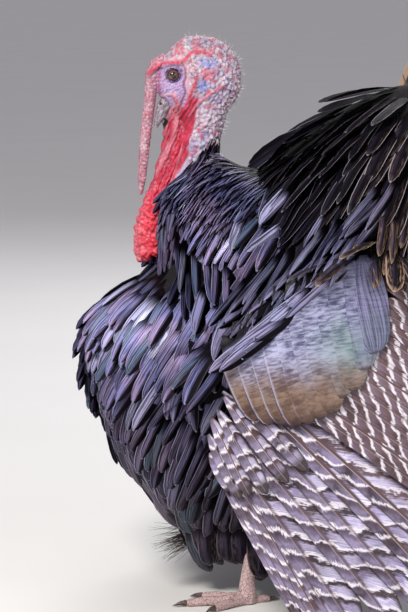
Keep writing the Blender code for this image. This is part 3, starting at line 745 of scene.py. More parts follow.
skin_nodes = (*FLESH, "head", "neck", "wattle", "snood", "wing_left_arm", "wing_right_arm")
skin_nodes += tuple(f"{part}_{side}" for part in ("shank", "foot") for side, sign in SIDES)
dress(skin, skin_finish, "face", *skin_nodes)

# ---------------------------------------------------------------- eyes
# A museum eye is one glass piece, clear in front and painted behind: here a closed ball with the cornea
# standing a little proud, a black pupil, an amber-brown iris and a dark rim. It is set behind the lids.
EYE_RINGS, EYE_SIDES = 22, 32
CORNEA_REACH, CORNEA_RISE = 0.62, 0.0006  # the cornea's edge as a share of the eye's radius, and its height
GAZE = Vector((-0.16, 1.0, 0.03)).normalized()  # the right eye's, mirrored for the left one

eye_finish, recipe, shader = finish("eye", roughness=0.06, coat_weight=1.0, coat_roughness=0.02)
ring = recipe.read("from_pupil", "Fac")
fibres = recipe.noise(recipe.here(), 1500.0, 3.0, 0.7)
iris = recipe.mix(fibres.step(0.3, 0.7), (0.060, 0.016, 0.006), (0.220, 0.070, 0.026))
iris = recipe.mix(ring.step(0.60, 0.76), iris, (0.020, 0.007, 0.005))
iris = recipe.mix(ring.step(0.50, 0.43), iris, (0.002, 0.001, 0.001))
rim = recipe.mix(ring.step(0.78, 0.88), iris, (0.030, 0.012, 0.014))
wear(recipe, shader, base_color=rim)
for side, sign in SIDES:
    gaze = Vector((GAZE.x, sign * GAZE.y, GAZE.z))
    turn = gaze.to_track_quat("Z", "Y").to_matrix()
    ball, shares = [], []
    for r in range(EYE_RINGS + 1):
        angle = math.pi * r / EYE_RINGS
        wide, in_front = math.sin(angle), angle < math.pi / 2
        proud = CORNEA_RISE * max(0.0, 1.0 - (wide / CORNEA_REACH) ** 2) if in_front else 0.0
        count = 1 if r in (0, EYE_RINGS) else EYE_SIDES
        for k in range(count):
            about = 2 * math.pi * k / EYE_SIDES
            way = Vector((math.cos(about) * wide, math.sin(about) * wide, math.cos(angle)))
            ball.append(EYE[side] + turn @ (way * (EYE_RADIUS + proud)))
            shares.append(wide if in_front else 1.0)
    faces = []
    for r in range(EYE_RINGS):
        first, after = 1 + (r - 1) * EYE_SIDES, 1 + r * EYE_SIDES
        for k in range(EYE_SIDES):
            n = (k + 1) % EYE_SIDES
            if r == 0:
                faces.append((0, 1 + k, 1 + n))
            elif r == EYE_RINGS - 1:
                faces.append((first + k, len(ball) - 1, first + n))
            else:
                faces.append((first + k, after + k, after + n, first + n))
    eye = mesh_object(f"eyeball_{side}", ball, faces)
    carry(eye, "from_pupil", shares)
    dress(eye, eye_finish, "eye", f"eye_{side}")

# ---------------------------------------------------------------- bill
# Two sheaths of horn over the jaws, the upper one hooked over the lower. The horn is streaked along its
# length and worn pale in patches, and painted shade darkens the nostril's hollow.
NOSTRIL = (-0.1868, 0.5790)  # (x, z)

bill_finish, recipe, shader = finish("bill_horn", specular_ior_level=0.5)
place = recipe.here()
along = place.part(0) * 0.60 + place.part(2)
across = place.part(0) - place.part(2) * 0.62
streaks = recipe.noise(recipe.join(across * 6.0, place.part(1) * 6.0, along), 95.0, 4.0, 0.65)
horn = recipe.mix(streaks.step(0.38, 0.62), (0.34, 0.28, 0.33), (0.10, 0.075, 0.095))
worn = recipe.noise(place, 260.0, 3.0)
horn = recipe.mix(worn.step(0.55, 0.75), horn, (0.52, 0.46, 0.47))
nostril_hollow = recipe.read("nostril", "Fac")
# Painted shade in the nostril's hollow.
horn = recipe.mix(nostril_hollow, horn, (0.020, 0.012, 0.016))
bill_rough = worn.step(0.2, 0.8, 0.30, 0.50)
wear(recipe, shader, base_color=horn, roughness=bill_rough, normal=recipe.bump(streaks, 0.25, 0.0004))
for node in ("bill_upper", "bill_lower"):
    bill = shaped(merged_copy(node), voxels(0.0007), softened(7))
    points, out = coordinates(bill.data), normals(bill.data)
    away = np.sqrt(((points[:, 0] - NOSTRIL[0]) * 0.8) ** 2 + ((points[:, 2] - NOSTRIL[1]) * 1.2) ** 2)
    nostril_hollow = smooth(away, 0.0028, 0.0012) * (np.abs(points[:, 1]) > 0.003) * (node == "bill_upper")
    keel = np.exp(-((points[:, 1] / 0.0016) ** 2)) * 0.0005 * (node == "bill_upper")
    move_to(bill.data, points + out * (keel - 0.0011 * nostril_hollow)[:, None])
    bill.name = node + "_horn"
    carry(bill, "nostril", nostril_hollow)
    dress(bill, bill_finish, "bill", node)

# ---------------------------------------------------------------- claws and spurs
# Blunt horn on the four toes of each foot, and one spur on the back of each shank, growing out of the
# skin. The horn is clouded black and dark brown.
claw_finish, recipe, shader = finish("claw_horn", specular_ior_level=0.5)
place = recipe.here()
growth = recipe.noise(place, 500.0, 3.0)
claw_colour = recipe.mix(growth.step(0.35, 0.70), (0.030, 0.020, 0.018), (0.13, 0.085, 0.070))
claw_rough = growth.step(0.3, 0.7, 0.32, 0.5)
wear(recipe, shader, base_color=claw_colour, roughness=claw_rough, normal=recipe.bump(growth, 0.3, 0.0004))
for side, sign in SIDES:
    for kind in ("claw_inner", "claw_middle", "claw_outer", "claw_hind", "spur"):
        node = f"{kind}_{side}"
        claw = shaped(merged_copy(node), voxels(0.0008), softened(4))
        claw.name = node + "_horn"
        dress(claw, claw_finish, "claw", node)

# ---------------------------------------------------------------- coat
# The contour feathers, each a thin cambered vane on its own shaft, set in the skin one by one and lapped
# like slates. In strut they are raised, so each stands proud of the next and shows as a narrow strip.
PATCH = 0.003  # how much of the bake map one feather takes
# A feather's half width at shares of its length, and where its lines of points lie across it.
PLUME_OUTLINE = (
    (0.00, 0.20), (0.15, 0.62), (0.36, 0.94), (0.56, 1.00),
    (0.76, 0.96), (0.88, 0.78), (0.96, 0.42), (1.00, 0.05),
)
PLUME_ACROSS = (-1.0, -0.5, 0.0, 0.5, 1.0)


def feather_blank(name, outline, lines, hand, camber=0.07, lead=1.0, shaft=0.03, vane=0.012):
    """One closed feather of length 1 and half width 1 that every feather of a kind is made from: x is
    across it, y along it and z its thickness. hand is the sign of x on its trailing vane, and lead is how
    wide the leading one is."""
    points, marks, faces = [], [], []
    under = [x for x in reversed(lines) if abs(x) < 1.0]
    around = len(lines) + len(under)
    for along, wide in outline:
        for upper, shares in ((1.0, lines), (-1.0, under)):
            for share in shares:
                x = share * wide * (lead if share * hand < 0 else 1.0)
                thick = 0.0 if abs(share) == 1.0 else vane if abs(share) > 0.1 else shaft * (1.15 - along)
                points.append((x, along, thick * upper - camber * x * x))
                marks.append((share * hand, along, 1.0 if upper > 0 else 0.0))
    for r in range(len(outline) - 1):
        for k in range(around):
            a, b = r * around + k, r * around + (k + 1) % around
            faces.append((a, b, b + around, a + around))
    last = (len(outline) - 1) * around
    faces += [tuple(range(around - 1, -1, -1)), tuple(range(last, last + around))]
    blank = mesh_object(name, points, faces)
    sharp = [{v % around for v in e.vertices} in ({0}, {len(lines) - 1}) for e in blank.data.edges]
    carry(blank, "sharp_edge", sharp, "BOOLEAN", "EDGE")
    carry(blank, "blank", points, "FLOAT_VECTOR")
    carry(blank, "vane", marks, "FLOAT_VECTOR")
    bpy.context.scene.collection.objects.unlink(blank)
    return blank


def vane_tree():
    """Geometry nodes that set one feather on each point: bent, rolled and turned by what the point
    carries, each with its own patch of the bake map."""
    tree = bpy.data.node_groups.new("feathers", "GeometryNodeTree")
    for name, kind, way in (
        ("Roots", "NodeSocketGeometry", "INPUT"),
        ("Blank", "NodeSocketObject", "INPUT"),
        ("Finish", "NodeSocketMaterial", "INPUT"),
        ("Map Patch", "NodeSocketVector", "INPUT"),
        ("Ruffle", "NodeSocketFloat", "INPUT"),
        ("Seed", "NodeSocketInt", "INPUT"),
        ("Feathers", "NodeSocketGeometry", "OUTPUT"),
    ):
        tree.interface.new_socket(name, in_out=way, socket_type=kind)
    recipe = Recipe(tree)
    given = recipe.add("NodeGroupInput")
    roots, blank, finish_given, patch, ruffle, seed = (
        Wire(recipe, given.socket.node.outputs[k]) for k in range(6)
    )

    def read(name, kind="FLOAT_VECTOR"):
        return recipe.add("GeometryNodeInputNamedAttribute", {"data_type": kind}, {"Name": name})

    chance = recipe.add("FunctionNodeRandomValue", {"data_type": "FLOAT"}, {"Seed": seed}, out=1)
    toned = recipe.add(
        "GeometryNodeStoreNamedAttribute",
        {"data_type": "FLOAT", "domain": "POINT"},
        {"Geometry": roots, "Name": "tone", "Value": chance},
    )
    shape = recipe.add("GeometryNodeObjectInfo", {}, {"Object": blank}, out="Geometry")
    placed = recipe.add("GeometryNodeInstanceOnPoints", {}, {"Points": toned, "Instance": shape})
    feathers = recipe.add("GeometryNodeRealizeInstances", {}, {"Geometry": placed})

    own = read("blank")
    across, along, thick = own.part(0), own.part(1), own.part(2)
    size, bend, place = read("size"), read("bend"), read("place")
    length, half, sway = size.part(0), size.part(1), size.part(2)
    lift, curl, roll = bend.part(0), bend.part(1), bend.part(2)
    lie, out = read("lie"), read("out")
    aside = lie.do("CROSS_PRODUCT", out)
    shake = recipe.noise(own * 2.2 + read("tone", "FLOAT") * 37.0, 1.0, 2.0) - 0.5
    angle = lift + curl * along
    run = (angle.sine() - lift.sine()) / curl * length
    rise = (lift.cosine() - angle.cosine()) / curl * length
    upward = out * angle.cosine() - lie * angle.sine()
    turned = roll * along.at_most(0.5) * 2.0
    side = aside * turned.cosine() + upward * turned.sine()
    face = upward * turned.cosine() - aside * turned.sine()
    raised = (thick + shake * ruffle * along) * half
    where = read("root") + lie * run + out * rise + aside * (sway * along * along * length)
    where = where + side * (across * half) + face * raised
    bent = recipe.add("GeometryNodeSetPosition", {}, {"Geometry": feathers, "Position": where})
    on_map = recipe.join(across * 0.5, along - 0.5, 0.0) * patch + place
    mapped = recipe.add(
        "GeometryNodeStoreNamedAttribute",
        {"data_type": "FLOAT2", "domain": "CORNER"},
        {"Geometry": bent, "Name": "OFBake", "Value": on_map},
    )
    rounded = recipe.add("GeometryNodeSetShadeSmooth", {}, {"Geometry": mapped})
    dressed = recipe.add("GeometryNodeSetMaterial", {}, {"Geometry": rounded, "Material": finish_given})
    tree.links.new(dressed.socket, tree.nodes.new("NodeGroupOutput").inputs[0])
    return tree


VANES = vane_tree()


def feathered(name, blank, coat_finish, seed, ruffle=0.0, patch=(PATCH, PATCH, 0.0), **carried):
    """A piece of coat, one feather for each root. carried holds what each feather has, in threes: root,
    lie (which way it points) and out (which way it faces); size: length, half width and sway; bend: lift,
    curl and roll in radians; place on the bake map; and mark, which its material reads."""
    made = mesh_object(name, carried["root"], [])
    for key, values in carried.items():
        carry(made, key, values, "FLOAT_VECTOR")
    modifier = made.modifiers.new("feathers", "NODES")
    modifier.node_group = VANES
    sockets = {item.name: item.identifier for item in VANES.interface.items_tree if item.in_out == "INPUT"}
    given = {"Blank": blank, "Finish": coat_finish, "Map Patch": patch, "Ruffle": ruffle, "Seed": seed}
    for key, value in given.items():
        modifier[sockets[key]] = value
    shaped(made)
    made.data.name = name
    for spent in ("root", "lie", "out", "size", "bend", "place", "blank"):
        made.data.attributes.remove(made.data.attributes[spent])
    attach(made, "root")
    return made


def blanks(name, outline, lines, **shape):
    """The same feather for each side of the bird, one the mirror of the other."""
    return {side: feather_blank(f"{name}_{side}", outline, lines, hand, **shape) for side, hand in SIDES}


PLUME = blanks("plume", PLUME_OUTLINE, PLUME_ACROSS)

# How the coat lies and what it is like at places (x, z) of the side: the angle of the feathers below
# straight ahead; their length and half width in mm; how far each is raised and rolled, in degrees; and
# how strong its blue sheen, its pale margin and its tan tip are.
COAT = (
    #  x      z    lie  long half lift roll sheen margin tan
    (-0.27, 0.36, 70, 66, 7.5, 2, 40, 0.45, 0.55, 0.0),
    (-0.28, 0.28, 84, 66, 7.5, 3, 38, 0.40, 0.55, 0.0),
    (-0.28, 0.20, 94, 66, 8.5, 7, 36, 0.40, 0.50, 0.0),
    (-0.21, 0.37, 46, 84, 7.5, 16, 42, 1.15, 0.40, 0.0),
    (-0.19, 0.30, 56, 86, 8.0, 18, 42, 0.85, 0.45, 0.0),
    (-0.20, 0.12, 84, 84, 13.0, 22, 20, 0.45, 0.60, 0.2),
    (-0.14, 0.24, 66, 84, 9.0, 19, 38, 0.80, 0.50, 0.0),
    (-0.18, 0.42, 84, 84, 5.5, 10, 34, 0.55, 0.35, 0.0),
    (-0.14, 0.50, 50, 46, 1.8, 4, 6, 0.85, 0.00, 0.0),
    (-0.11, 0.51, 40, 50, 1.8, 4, 6, 0.85, 0.00, 0.0),
    (-0.08, 0.50, 38, 60, 2.6, 5, 10, 0.75, 0.00, 0.0),
    (-0.16, 0.46, 72, 66, 3.0, 8, 20, 0.65, 0.10, 0.0),
    (-0.12, 0.45, 62, 80, 5.0, 11, 30, 0.75, 0.25, 0.0),
    (-0.06, 0.45, 60, 110, 8.0, 14, 40, 0.50, 0.60, 0.0),
    (-0.05, 0.40, 48, 86, 7.5, 15, 38, 1.10, 0.35, 0.0),
    (-0.08, 0.08, 96, 62, 14.0, 20, 6, 0.15, 0.20, 0.2),
    (-0.06, 0.34, 46, 80, 7.5, 15, 38, 1.00, 0.40, 0.0),
    (-0.01, 0.50, 56, 104, 9.0, 26, -26, 0.10, 0.60, 0.0),
    (0.06, 0.62, 44, 90, 9.0, 6, -20, 0.03, 0.90, 0.0),
    (0.02, 0.56, 52, 110, 9.0, 24, -36, 0.03, 1.00, 0.0),
    (0.07, 0.49, 66, 112, 9.0, 28, -32, 0.03, 1.00, 0.3),
    (0.04, 0.42, 66, 84, 11.0, 24, -14, 0.08, 1.00, 0.9),
    (0.15, 0.55, 72, 104, 9.5, 20, -30, 0.03, 1.00, 0.5),
    (0.12, 0.36, 94, 100, 12.0, 26, -10, 0.06, 1.00, 1.0),
    (0.19, 0.38, 98, 100, 12.0, 24, 0, 0.08, 0.90, 1.0),
    (0.06, 0.14, 108, 60, 14.0, 20, 0, 0.10, 0.20, 0.4),
    (0.17, 0.25, 125, 66, 15.0, 22, 0, 0.10, 0.40, 0.8),
)


def unit(vectors):
    return vectors / np.linalg.norm(vectors, axis=1)[:, None]


def square_to(lie, way):
    """The directions nearest to a way that are square to each lie."""
    return unit(way - lie * (lie * way).sum(1)[:, None])


def threes(count, *values):
    """Three columns of numbers side by side, of which a single number fills its whole column."""
    return np.stack([np.broadcast_to(value, count) for value in values], 1)


def inside(outline, x, z):
    """Whether points (x, z) lie within a closed outline."""
    found = np.zeros(len(x), bool)
    for (ax, az), (bx, bz) in zip(outline, (*outline[1:], outline[0]), strict=True):
        crossed = (az > z) != (bz > z)
        found ^= crossed & (x < (bx - ax) * (z - az) / (bz - az + 1e-12) + ax)
    return found


def coat_at(points):
    """Each column of the table above at these points, eased from one place to the next."""
    x, z = points[:, 0], points[:, 2]
    shares = np.stack([((x - row[0]) ** 2 + (z - row[1]) ** 2 + 0.0003) ** -1.6 for row in COAT], 1)
    shares /= shares.sum(1)[:, None]
    return shares @ np.array([row[2:] for row in COAT])


def lie_of(points, out, degrees):
    """Which way feathers lie: along the skin, down and forward, and away from the back's middle."""
    angle = np.radians(degrees)
    over_back = smooth(out[:, 2], 0.3, 0.9) * np.tanh(points[:, 1] / 0.03)
    return square_to(out, np.stack((-np.cos(angle), 0.45 * over_back, -np.sin(angle)), 1))


MIDDLE = np.array((0.0, 0.0, 0.33))


def spread_map(points):
    """The body's skin laid flat round its middle, with equal areas kept equal: (across, up, 0)."""
    way = unit(points - MIDDLE)
    turn = np.arctan2(way[:, 1], way[:, 0]) / (2 * np.pi) + 0.5
    return threes(len(points), turn, 0.5 + way[:, 2] / 2, 0.0)


def rooted(surface_mesh, count, seed):
    """Random points over a mesh, evenly by area, with the mesh's smooth normals there."""
    draw = np.random.default_rng(seed)
    mesh_points, mesh_out = coordinates(surface_mesh), normals(surface_mesh)
    surface_mesh.calc_loop_triangles()
    corners = np.array([tuple(t.vertices) for t in surface_mesh.loop_triangles])
    a, b, c = (mesh_points[corners[:, k]] for k in range(3))
    area = np.linalg.norm(np.cross(b - a, c - a), axis=1)
    picked = corners[draw.choice(len(corners), count, p=area / area.sum())]
    share = draw.dirichlet((1, 1, 1), count)
    place = sum(mesh_points[picked[:, k]] * share[:, k : k + 1] for k in range(3))
    out = sum(mesh_out[picked[:, k]] * share[:, k : k + 1] for k in range(3))
    return place, unit(out)


def lapped(points, lie, out, across, along):
    """Which roots to keep so that none is too near another: across and along are the least gaps."""
    side = np.cross(lie, out)
    kept, held = [], np.empty((len(points), 3))
    for i in range(len(points)):
        gap = held[: len(kept)] - points[i]
        lengthwise = ((gap @ lie[i]) ** 2 + (gap @ out[i]) ** 2) / along[i] ** 2
        if not (((gap @ side[i]) / across[i]) ** 2 + lengthwise < 1.0).any():
            held[len(kept)] = points[i]
            kept.append(i)
    return np.array(kept)


# Near-black vanes with barbs across them. A blue to violet sheen is painted on the vane ahead of the shaft,
# as strongly as mark says, with painted shade darkening it towards the covered root, and each feather's own
# chance sets its tint. Mark also gives the pale margin and how tan and frayed the feather is; the pale edges
# are partly that margin and partly a painted highlight on the raised rims. s runs across the vane, -1 at its
# leading edge and 1 at the other, and t runs along it from 0 to 1.
plumage, recipe, shader = finish("plumage", specular_ior_level=0.32)
vane, mark, chance = recipe.read("vane"), recipe.read("mark"), recipe.read("tone", "Fac")
place = recipe.here()
s, t = vane.part(0), vane.part(1)
sheen, margin, tan = mark.part(0), mark.part(1), mark.part(2)
barbs = (t * 230.0 + abs(s) * 34.0 + recipe.noise(vane, 3.0) * 9.0).sine()
cloudy = recipe.noise(place, 24.0, 3.0)
streaks = recipe.noise(recipe.join(s * 5.0, t * 2.0, chance * 40.0), 1.0, 3.0)
# The painted sheen's colour, by region and by feather, lighter where the sheen is strongest.
sheen_tint = recipe.mix(cloudy.step(0.40, 0.62), (0.240, 0.245, 0.560), (0.390, 0.290, 0.540))
sheen_tint = recipe.mix(place.part(2).step(0.32, 0.18) * 0.65, sheen_tint, (0.170, 0.125, 0.170))
sheen_tint = recipe.mix(chance.step(0.91, 0.97) * 0.6, sheen_tint, (0.080, 0.200, 0.250))
sheen_tint = recipe.mix(chance.step(0.14, 0.06) * sheen.step(0.5, 0.8), sheen_tint, (0.600, 0.590, 0.880))
sheen_tint = recipe.mix(sheen.step(0.95, 1.5) * 0.75, sheen_tint, (0.600, 0.580, 0.860))
dull = recipe.mix(chance, (0.003, 0.002, 0.004), (0.010, 0.007, 0.011))
# Painted sheen on the leading vane, with painted shade towards the covered root.
painted_sheen_mask = s.step(0.32, -0.16) * t.step(0.25, 0.50) * (0.35 + 0.65 * streaks.step(0.40, 0.54))
painted_sheen = (sheen * painted_sheen_mask * (0.70 + 0.45 * (chance * 7.0).fraction())).at_most(1.0)
colour = recipe.mix(painted_sheen * (0.84 + 0.16 * barbs), dull, sheen_tint)
colour = recipe.mix(abs(s + 0.80).step(0.10, 0.03) * 0.7, colour, (0.004, 0.004, 0.006))
# Pale edges: the real pale margin where mark gives one, and a painted highlight along the raised rims and the
# tip.
rimmed = margin.step(0.8, 1.0)
edge = (rimmed * 0.08 - s).step(0.89, 0.93) + s.step(0.90, 0.95) * sheen.step(0.6, 0.2, 0.4, 1.0)
edge = edge + t.step(0.97, 0.99)
worn_share = (chance * 13.0).fraction() * 0.75 + streaks.step(0.35, 0.60) * 0.55
edge = (edge * margin * worn_share.at_least(rimmed)).at_most(1.0) * t.step(0.22, 0.45)
pale = recipe.mix(tan, recipe.mix(sheen, (0.30, 0.29, 0.36), (0.42, 0.45, 0.62)), (0.46, 0.30, 0.19))
colour = recipe.mix(edge, colour, pale)
frayed = recipe.noise(recipe.join(s * 6.0, t * 9.0, chance * 50.0), 1.0, 3.0)
fringe = abs(s).step(0.15, 0.60) * t.step(0.25, 0.50) * frayed.step(0.42, 0.55)
colour = recipe.mix(tan * fringe * 0.85, colour, recipe.mix(frayed.step(0.5, 0.7), (0.17, 0.10, 0.065), pale))
colour = recipe.mix(tan * t.step(0.88, 0.96) * frayed.step(0.40, 0.52) * 0.8, colour, pale)
shaft_line = abs(s).step(0.09, 0.04) * t.step(0.95, 0.8)
colour = recipe.mix(shaft_line * 0.75, colour, (0.006, 0.005, 0.008))
matt = (painted_sheen * 0.80 + edge + tan * 0.5).at_most(1.0)
metal = matt.step(0.0, 1.0, 0.96, 0.10)
rough = chance * 0.14 + 0.36 + sheen.step(0.0, 0.4, 0.34, 0.0)
relief = recipe.bump(barbs, 0.30, 0.0004)
wear(recipe, shader, base_color=colour, metallic=metal, roughness=rough, normal=relief)

# What the folded wing covers, and the part of it that the shoulder's feathers end short of, as (x, z).
WING_OUTLINE = (
    (-0.168, 0.284), (-0.033, 0.389), (0.036, 0.392), (0.236, 0.272), (0.206, 0.120), (0.112, 0.062),
    (0.016, 0.000), (-0.044, 0.000), (-0.132, 0.204),
)
PANEL_OUTLINE = (
    (-0.1480, 0.3300), (-0.1270, 0.2900), (-0.1100, 0.2620), (-0.0883, 0.2400), (-0.0545, 0.2407),
    (-0.0207, 0.2617), (0.0040, 0.2942), (0.0184, 0.3325), (0.0066, 0.3771), (-0.0330, 0.3893),
    (-0.0778, 0.3795), (-0.1223, 0.3589),
)
# The front edge of the cape, as heights z and the x at each of them. The coat's feathers end behind it.
CAPE_FRONT = (
    (0.385, 0.395, 0.439, 0.480, 0.508, 0.522, 0.540),
    (-0.30, -0.189, -0.188, -0.176, -0.151, -0.134, -0.124),
)


def behind_cape_front(points):
    return points[:, 0] > np.interp(points[:, 2], *CAPE_FRONT)


# Thousands of random roots are drawn. Those that a feather can't grow at are left out first, and then
# those that are too near to a root that is kept already.
LAP_ACROSS, LAP_ALONG = 0.00082, 0.00030  # least gaps, for each mm of half width and of length
TIP_AT = 0.00085  # how far from its root a feather is taken to end, for each mm of its length
HEAD_GAP, LEGS_BELOW = 0.004, 0.078  # no feathers nearer to the bare head, and none lower than this
roots, out = rooted(skin.data, 90000, 11)
head_surfaces = [surface_of(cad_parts[node].data) for node in ("head", "wattle", "snood")]
off_head = np.minimum.reduce([gap_to(surface, roots) for surface in head_surfaces]) > HEAD_GAP
keep = off_head & (roots[:, 2] > LEGS_BELOW) & behind_cape_front(roots)
keep &= (roots[:, 2] < 0.520) | (roots[:, 0] > -0.09)
keep &= (roots[:, 2] < 0.470) | (roots[:, 0] < 0.105)
roots, out = roots[keep], out[keep]
held = coat_at(roots)
lie = lie_of(roots, out, held[:, 0])
tips = roots + lie * held[:, 1:2] * TIP_AT
on_wing = np.abs(roots[:, 1]) > 0.11
keep = behind_cape_front(tips) | (roots[:, 2] < 0.42)
keep &= (roots[:, 0] > -0.17) | (roots[:, 2] < 0.405)
over_panel = inside(PANEL_OUTLINE, tips[:, 0], tips[:, 2]) | inside(PANEL_OUTLINE, roots[:, 0], roots[:, 2])
keep &= ~(on_wing & over_panel)
roots, out, lie, held, on_wing = (values[keep] for values in (roots, out, lie, held, on_wing))
under_wing = on_wing & inside(WING_OUTLINE, roots[:, 0], roots[:, 2])
held[under_wing, 3:5] = 5.0, 0.0  # raised and rolled: these lie nearly flat
on_cape = 1 + 0.5 * (roots[:, 2] > 0.38) * (roots[:, 0] < -0.05)
kept = lapped(roots, lie, out, LAP_ACROSS * held[:, 2], LAP_ALONG * held[:, 1] * on_cape)
roots, out, lie, held = roots[kept], out[kept], lie[kept], held[kept]
count = len(roots)
draw = np.random.default_rng(5)
inward = -np.sign(roots[:, 1])
length, lift, roll = held[:, 1] / 1000, np.radians(held[:, 3]), np.radians(held[:, 4])
half = np.maximum(held[:, 2] / 1000, 0.006 * (roots[:, 2] < 0.42))
lengths = draw.normal(length, 0.07 * length)
halves = draw.normal(half, 0.08 * half)
sways = draw.normal(0, 0.05, count)
lifts = draw.normal(lift, 0.10 * lift)
curls = draw.normal(-1.35 * lift - 0.10, 0.05)
rolls = draw.normal(roll, 0.15 * np.abs(roll)) * inward
coat = {
    "root": roots - out * 0.002,
    "lie": lie,
    "out": out,
    "size": threes(count, lengths, halves, sways),
    "bend": threes(count, lifts, curls, rolls),
    "place": spread_map(roots),
    "mark": held[:, 5:8],
}
on_left, front, high = roots[:, 1] < 0, roots[:, 0] < -0.12, roots[:, 2] >= 0.40
regions = {
    "breast": front & ~high,
    "cape": high & (roots[:, 0] < -0.03),
    "back": high & (roots[:, 0] >= -0.03),
    "flank": ~front & ~high,
}
for side, sign in SIDES:
    for name, region in regions.items():
        chosen = region & (on_left == (side == "left"))
        carried = {key: values[chosen] for key, values in coat.items()}
        piece = feathered(f"coat_{name}_{side}", PLUME[side], plumage, len(name), ruffle=0.10, **carried)

# The hackle: hair-fine feathers, close together, from the back of the neck down over the top of the cape.
HACKLE_OUTLINE = (
    (-0.170, 0.487), (-0.140, 0.545), (-0.095, 0.545), (-0.040, 0.530), (-0.060, 0.480), (-0.115, 0.452),
)
roots, out = rooted(skin.data, 500000, 12)
keep = inside(HACKLE_OUTLINE, roots[:, 0], roots[:, 2])
roots, out = roots[keep], out[keep]
lie = lie_of(roots, out, np.interp(roots[:, 2], (0.46, 0.52), (60.0, 42.0)))
keep = behind_cape_front(roots + lie * 0.046)
roots, out, lie = roots[keep], out[keep], lie[keep]
kept = lapped(roots, lie, out, np.full(len(roots), 0.0015), np.full(len(roots), 0.010))
roots, out, lie = roots[kept], out[kept], lie[kept]
draw = np.random.default_rng(13)
count = len(roots)
# The mean and spread of each: length, half width, sway, lift, curl and roll.
SPREADS = ((0.052, 0.005), (0.0013, 0.0002), (0.0, 0.06), (0.22, 0.03), (-0.33, 0.04), (0.2, 0.2))
length, half, sway, lift, curl, roll = (draw.normal(mean, spread, count) for mean, spread in SPREADS)
hackle = {
    "root": roots - out * 0.001,
    "lie": lie,
    "out": out,
    "size": threes(count, length, half, sway),
    "bend": threes(count, lift, curl, roll),
    "place": spread_map(roots),
    "mark": threes(count, 0.9, 0.0, 0.0),
}
for side, sign in SIDES:
    chosen = (roots[:, 1] < 0) == (side == "left")
    carried = {key: values[chosen] for key, values in hackle.items()}
    feathered(f"coat_hackle_{side}", PLUME[side], plumage, 14, **carried)

# The cape's front edge: narrow feathers in four rows down each side of the neck, behind the bare strip.
CAPE_EDGE = ((-0.1440, 0.5220), (-0.1529, 0.5076), (-0.1784, 0.4803), (-0.1894, 0.4388), (-0.1905, 0.4026))
skin_surface = surface_of(skin.data)


def seat_at(x, z, sign):
    """Where the skin is, seen from one side, or the nearest skin where there is none in line."""
    hit = skin_surface.ray_cast((x, 0.4 * sign, z), (0, -sign, 0))[0]
    return tuple(hit or skin_surface.find_nearest((x, 0.05 * sign, z))[0])


EDGE_ROWS = 4
edge_line = curve_through(CAPE_EDGE, 12)
down_edge = unit(np.gradient(edge_line, axis=0))
for side, sign in SIDES:
    draw = np.random.default_rng(71)
    found = []
    for row in range(EDGE_ROWS):
        for k in range(row % 2, len(edge_line), 2):
            x, z = edge_line[k] + (0.006 + 0.007 * row, 0.004 + 0.004 * row) + draw.normal(0, 0.001, 2)
            hit = skin_surface.ray_cast((x, 0.3 * sign, z), (0, -sign, 0))[0]
            if hit is not None:
                share = k / len(edge_line)
                way = down_edge[k][0], sign * (0.16 + 0.10 * share), down_edge[k][1]
                found.append((*hit, *way, 0.030 + 0.040 * share, 0.0022 + 0.0030 * share))
    found = np.array(found)
    root, lie, count = found[:, :3], unit(found[:, 3:6]), len(found)
    piece = feathered(
        f"coat_cape_edge_{side}",
        PLUME[side],
        plumage,
        72,
        ruffle=0.08,
        root=root,
        lie=lie,
        out=square_to(lie, np.array((-0.25, sign, 0.0))),
        size=threes(count, found[:, 6], found[:, 7], draw.normal(0, 0.06, count)),
        bend=threes(count, 0.10, -0.25, -0.35 * sign),
        place=spread_map(root),
        mark=threes(count, 0.65, 0.10, 0.0),
    )

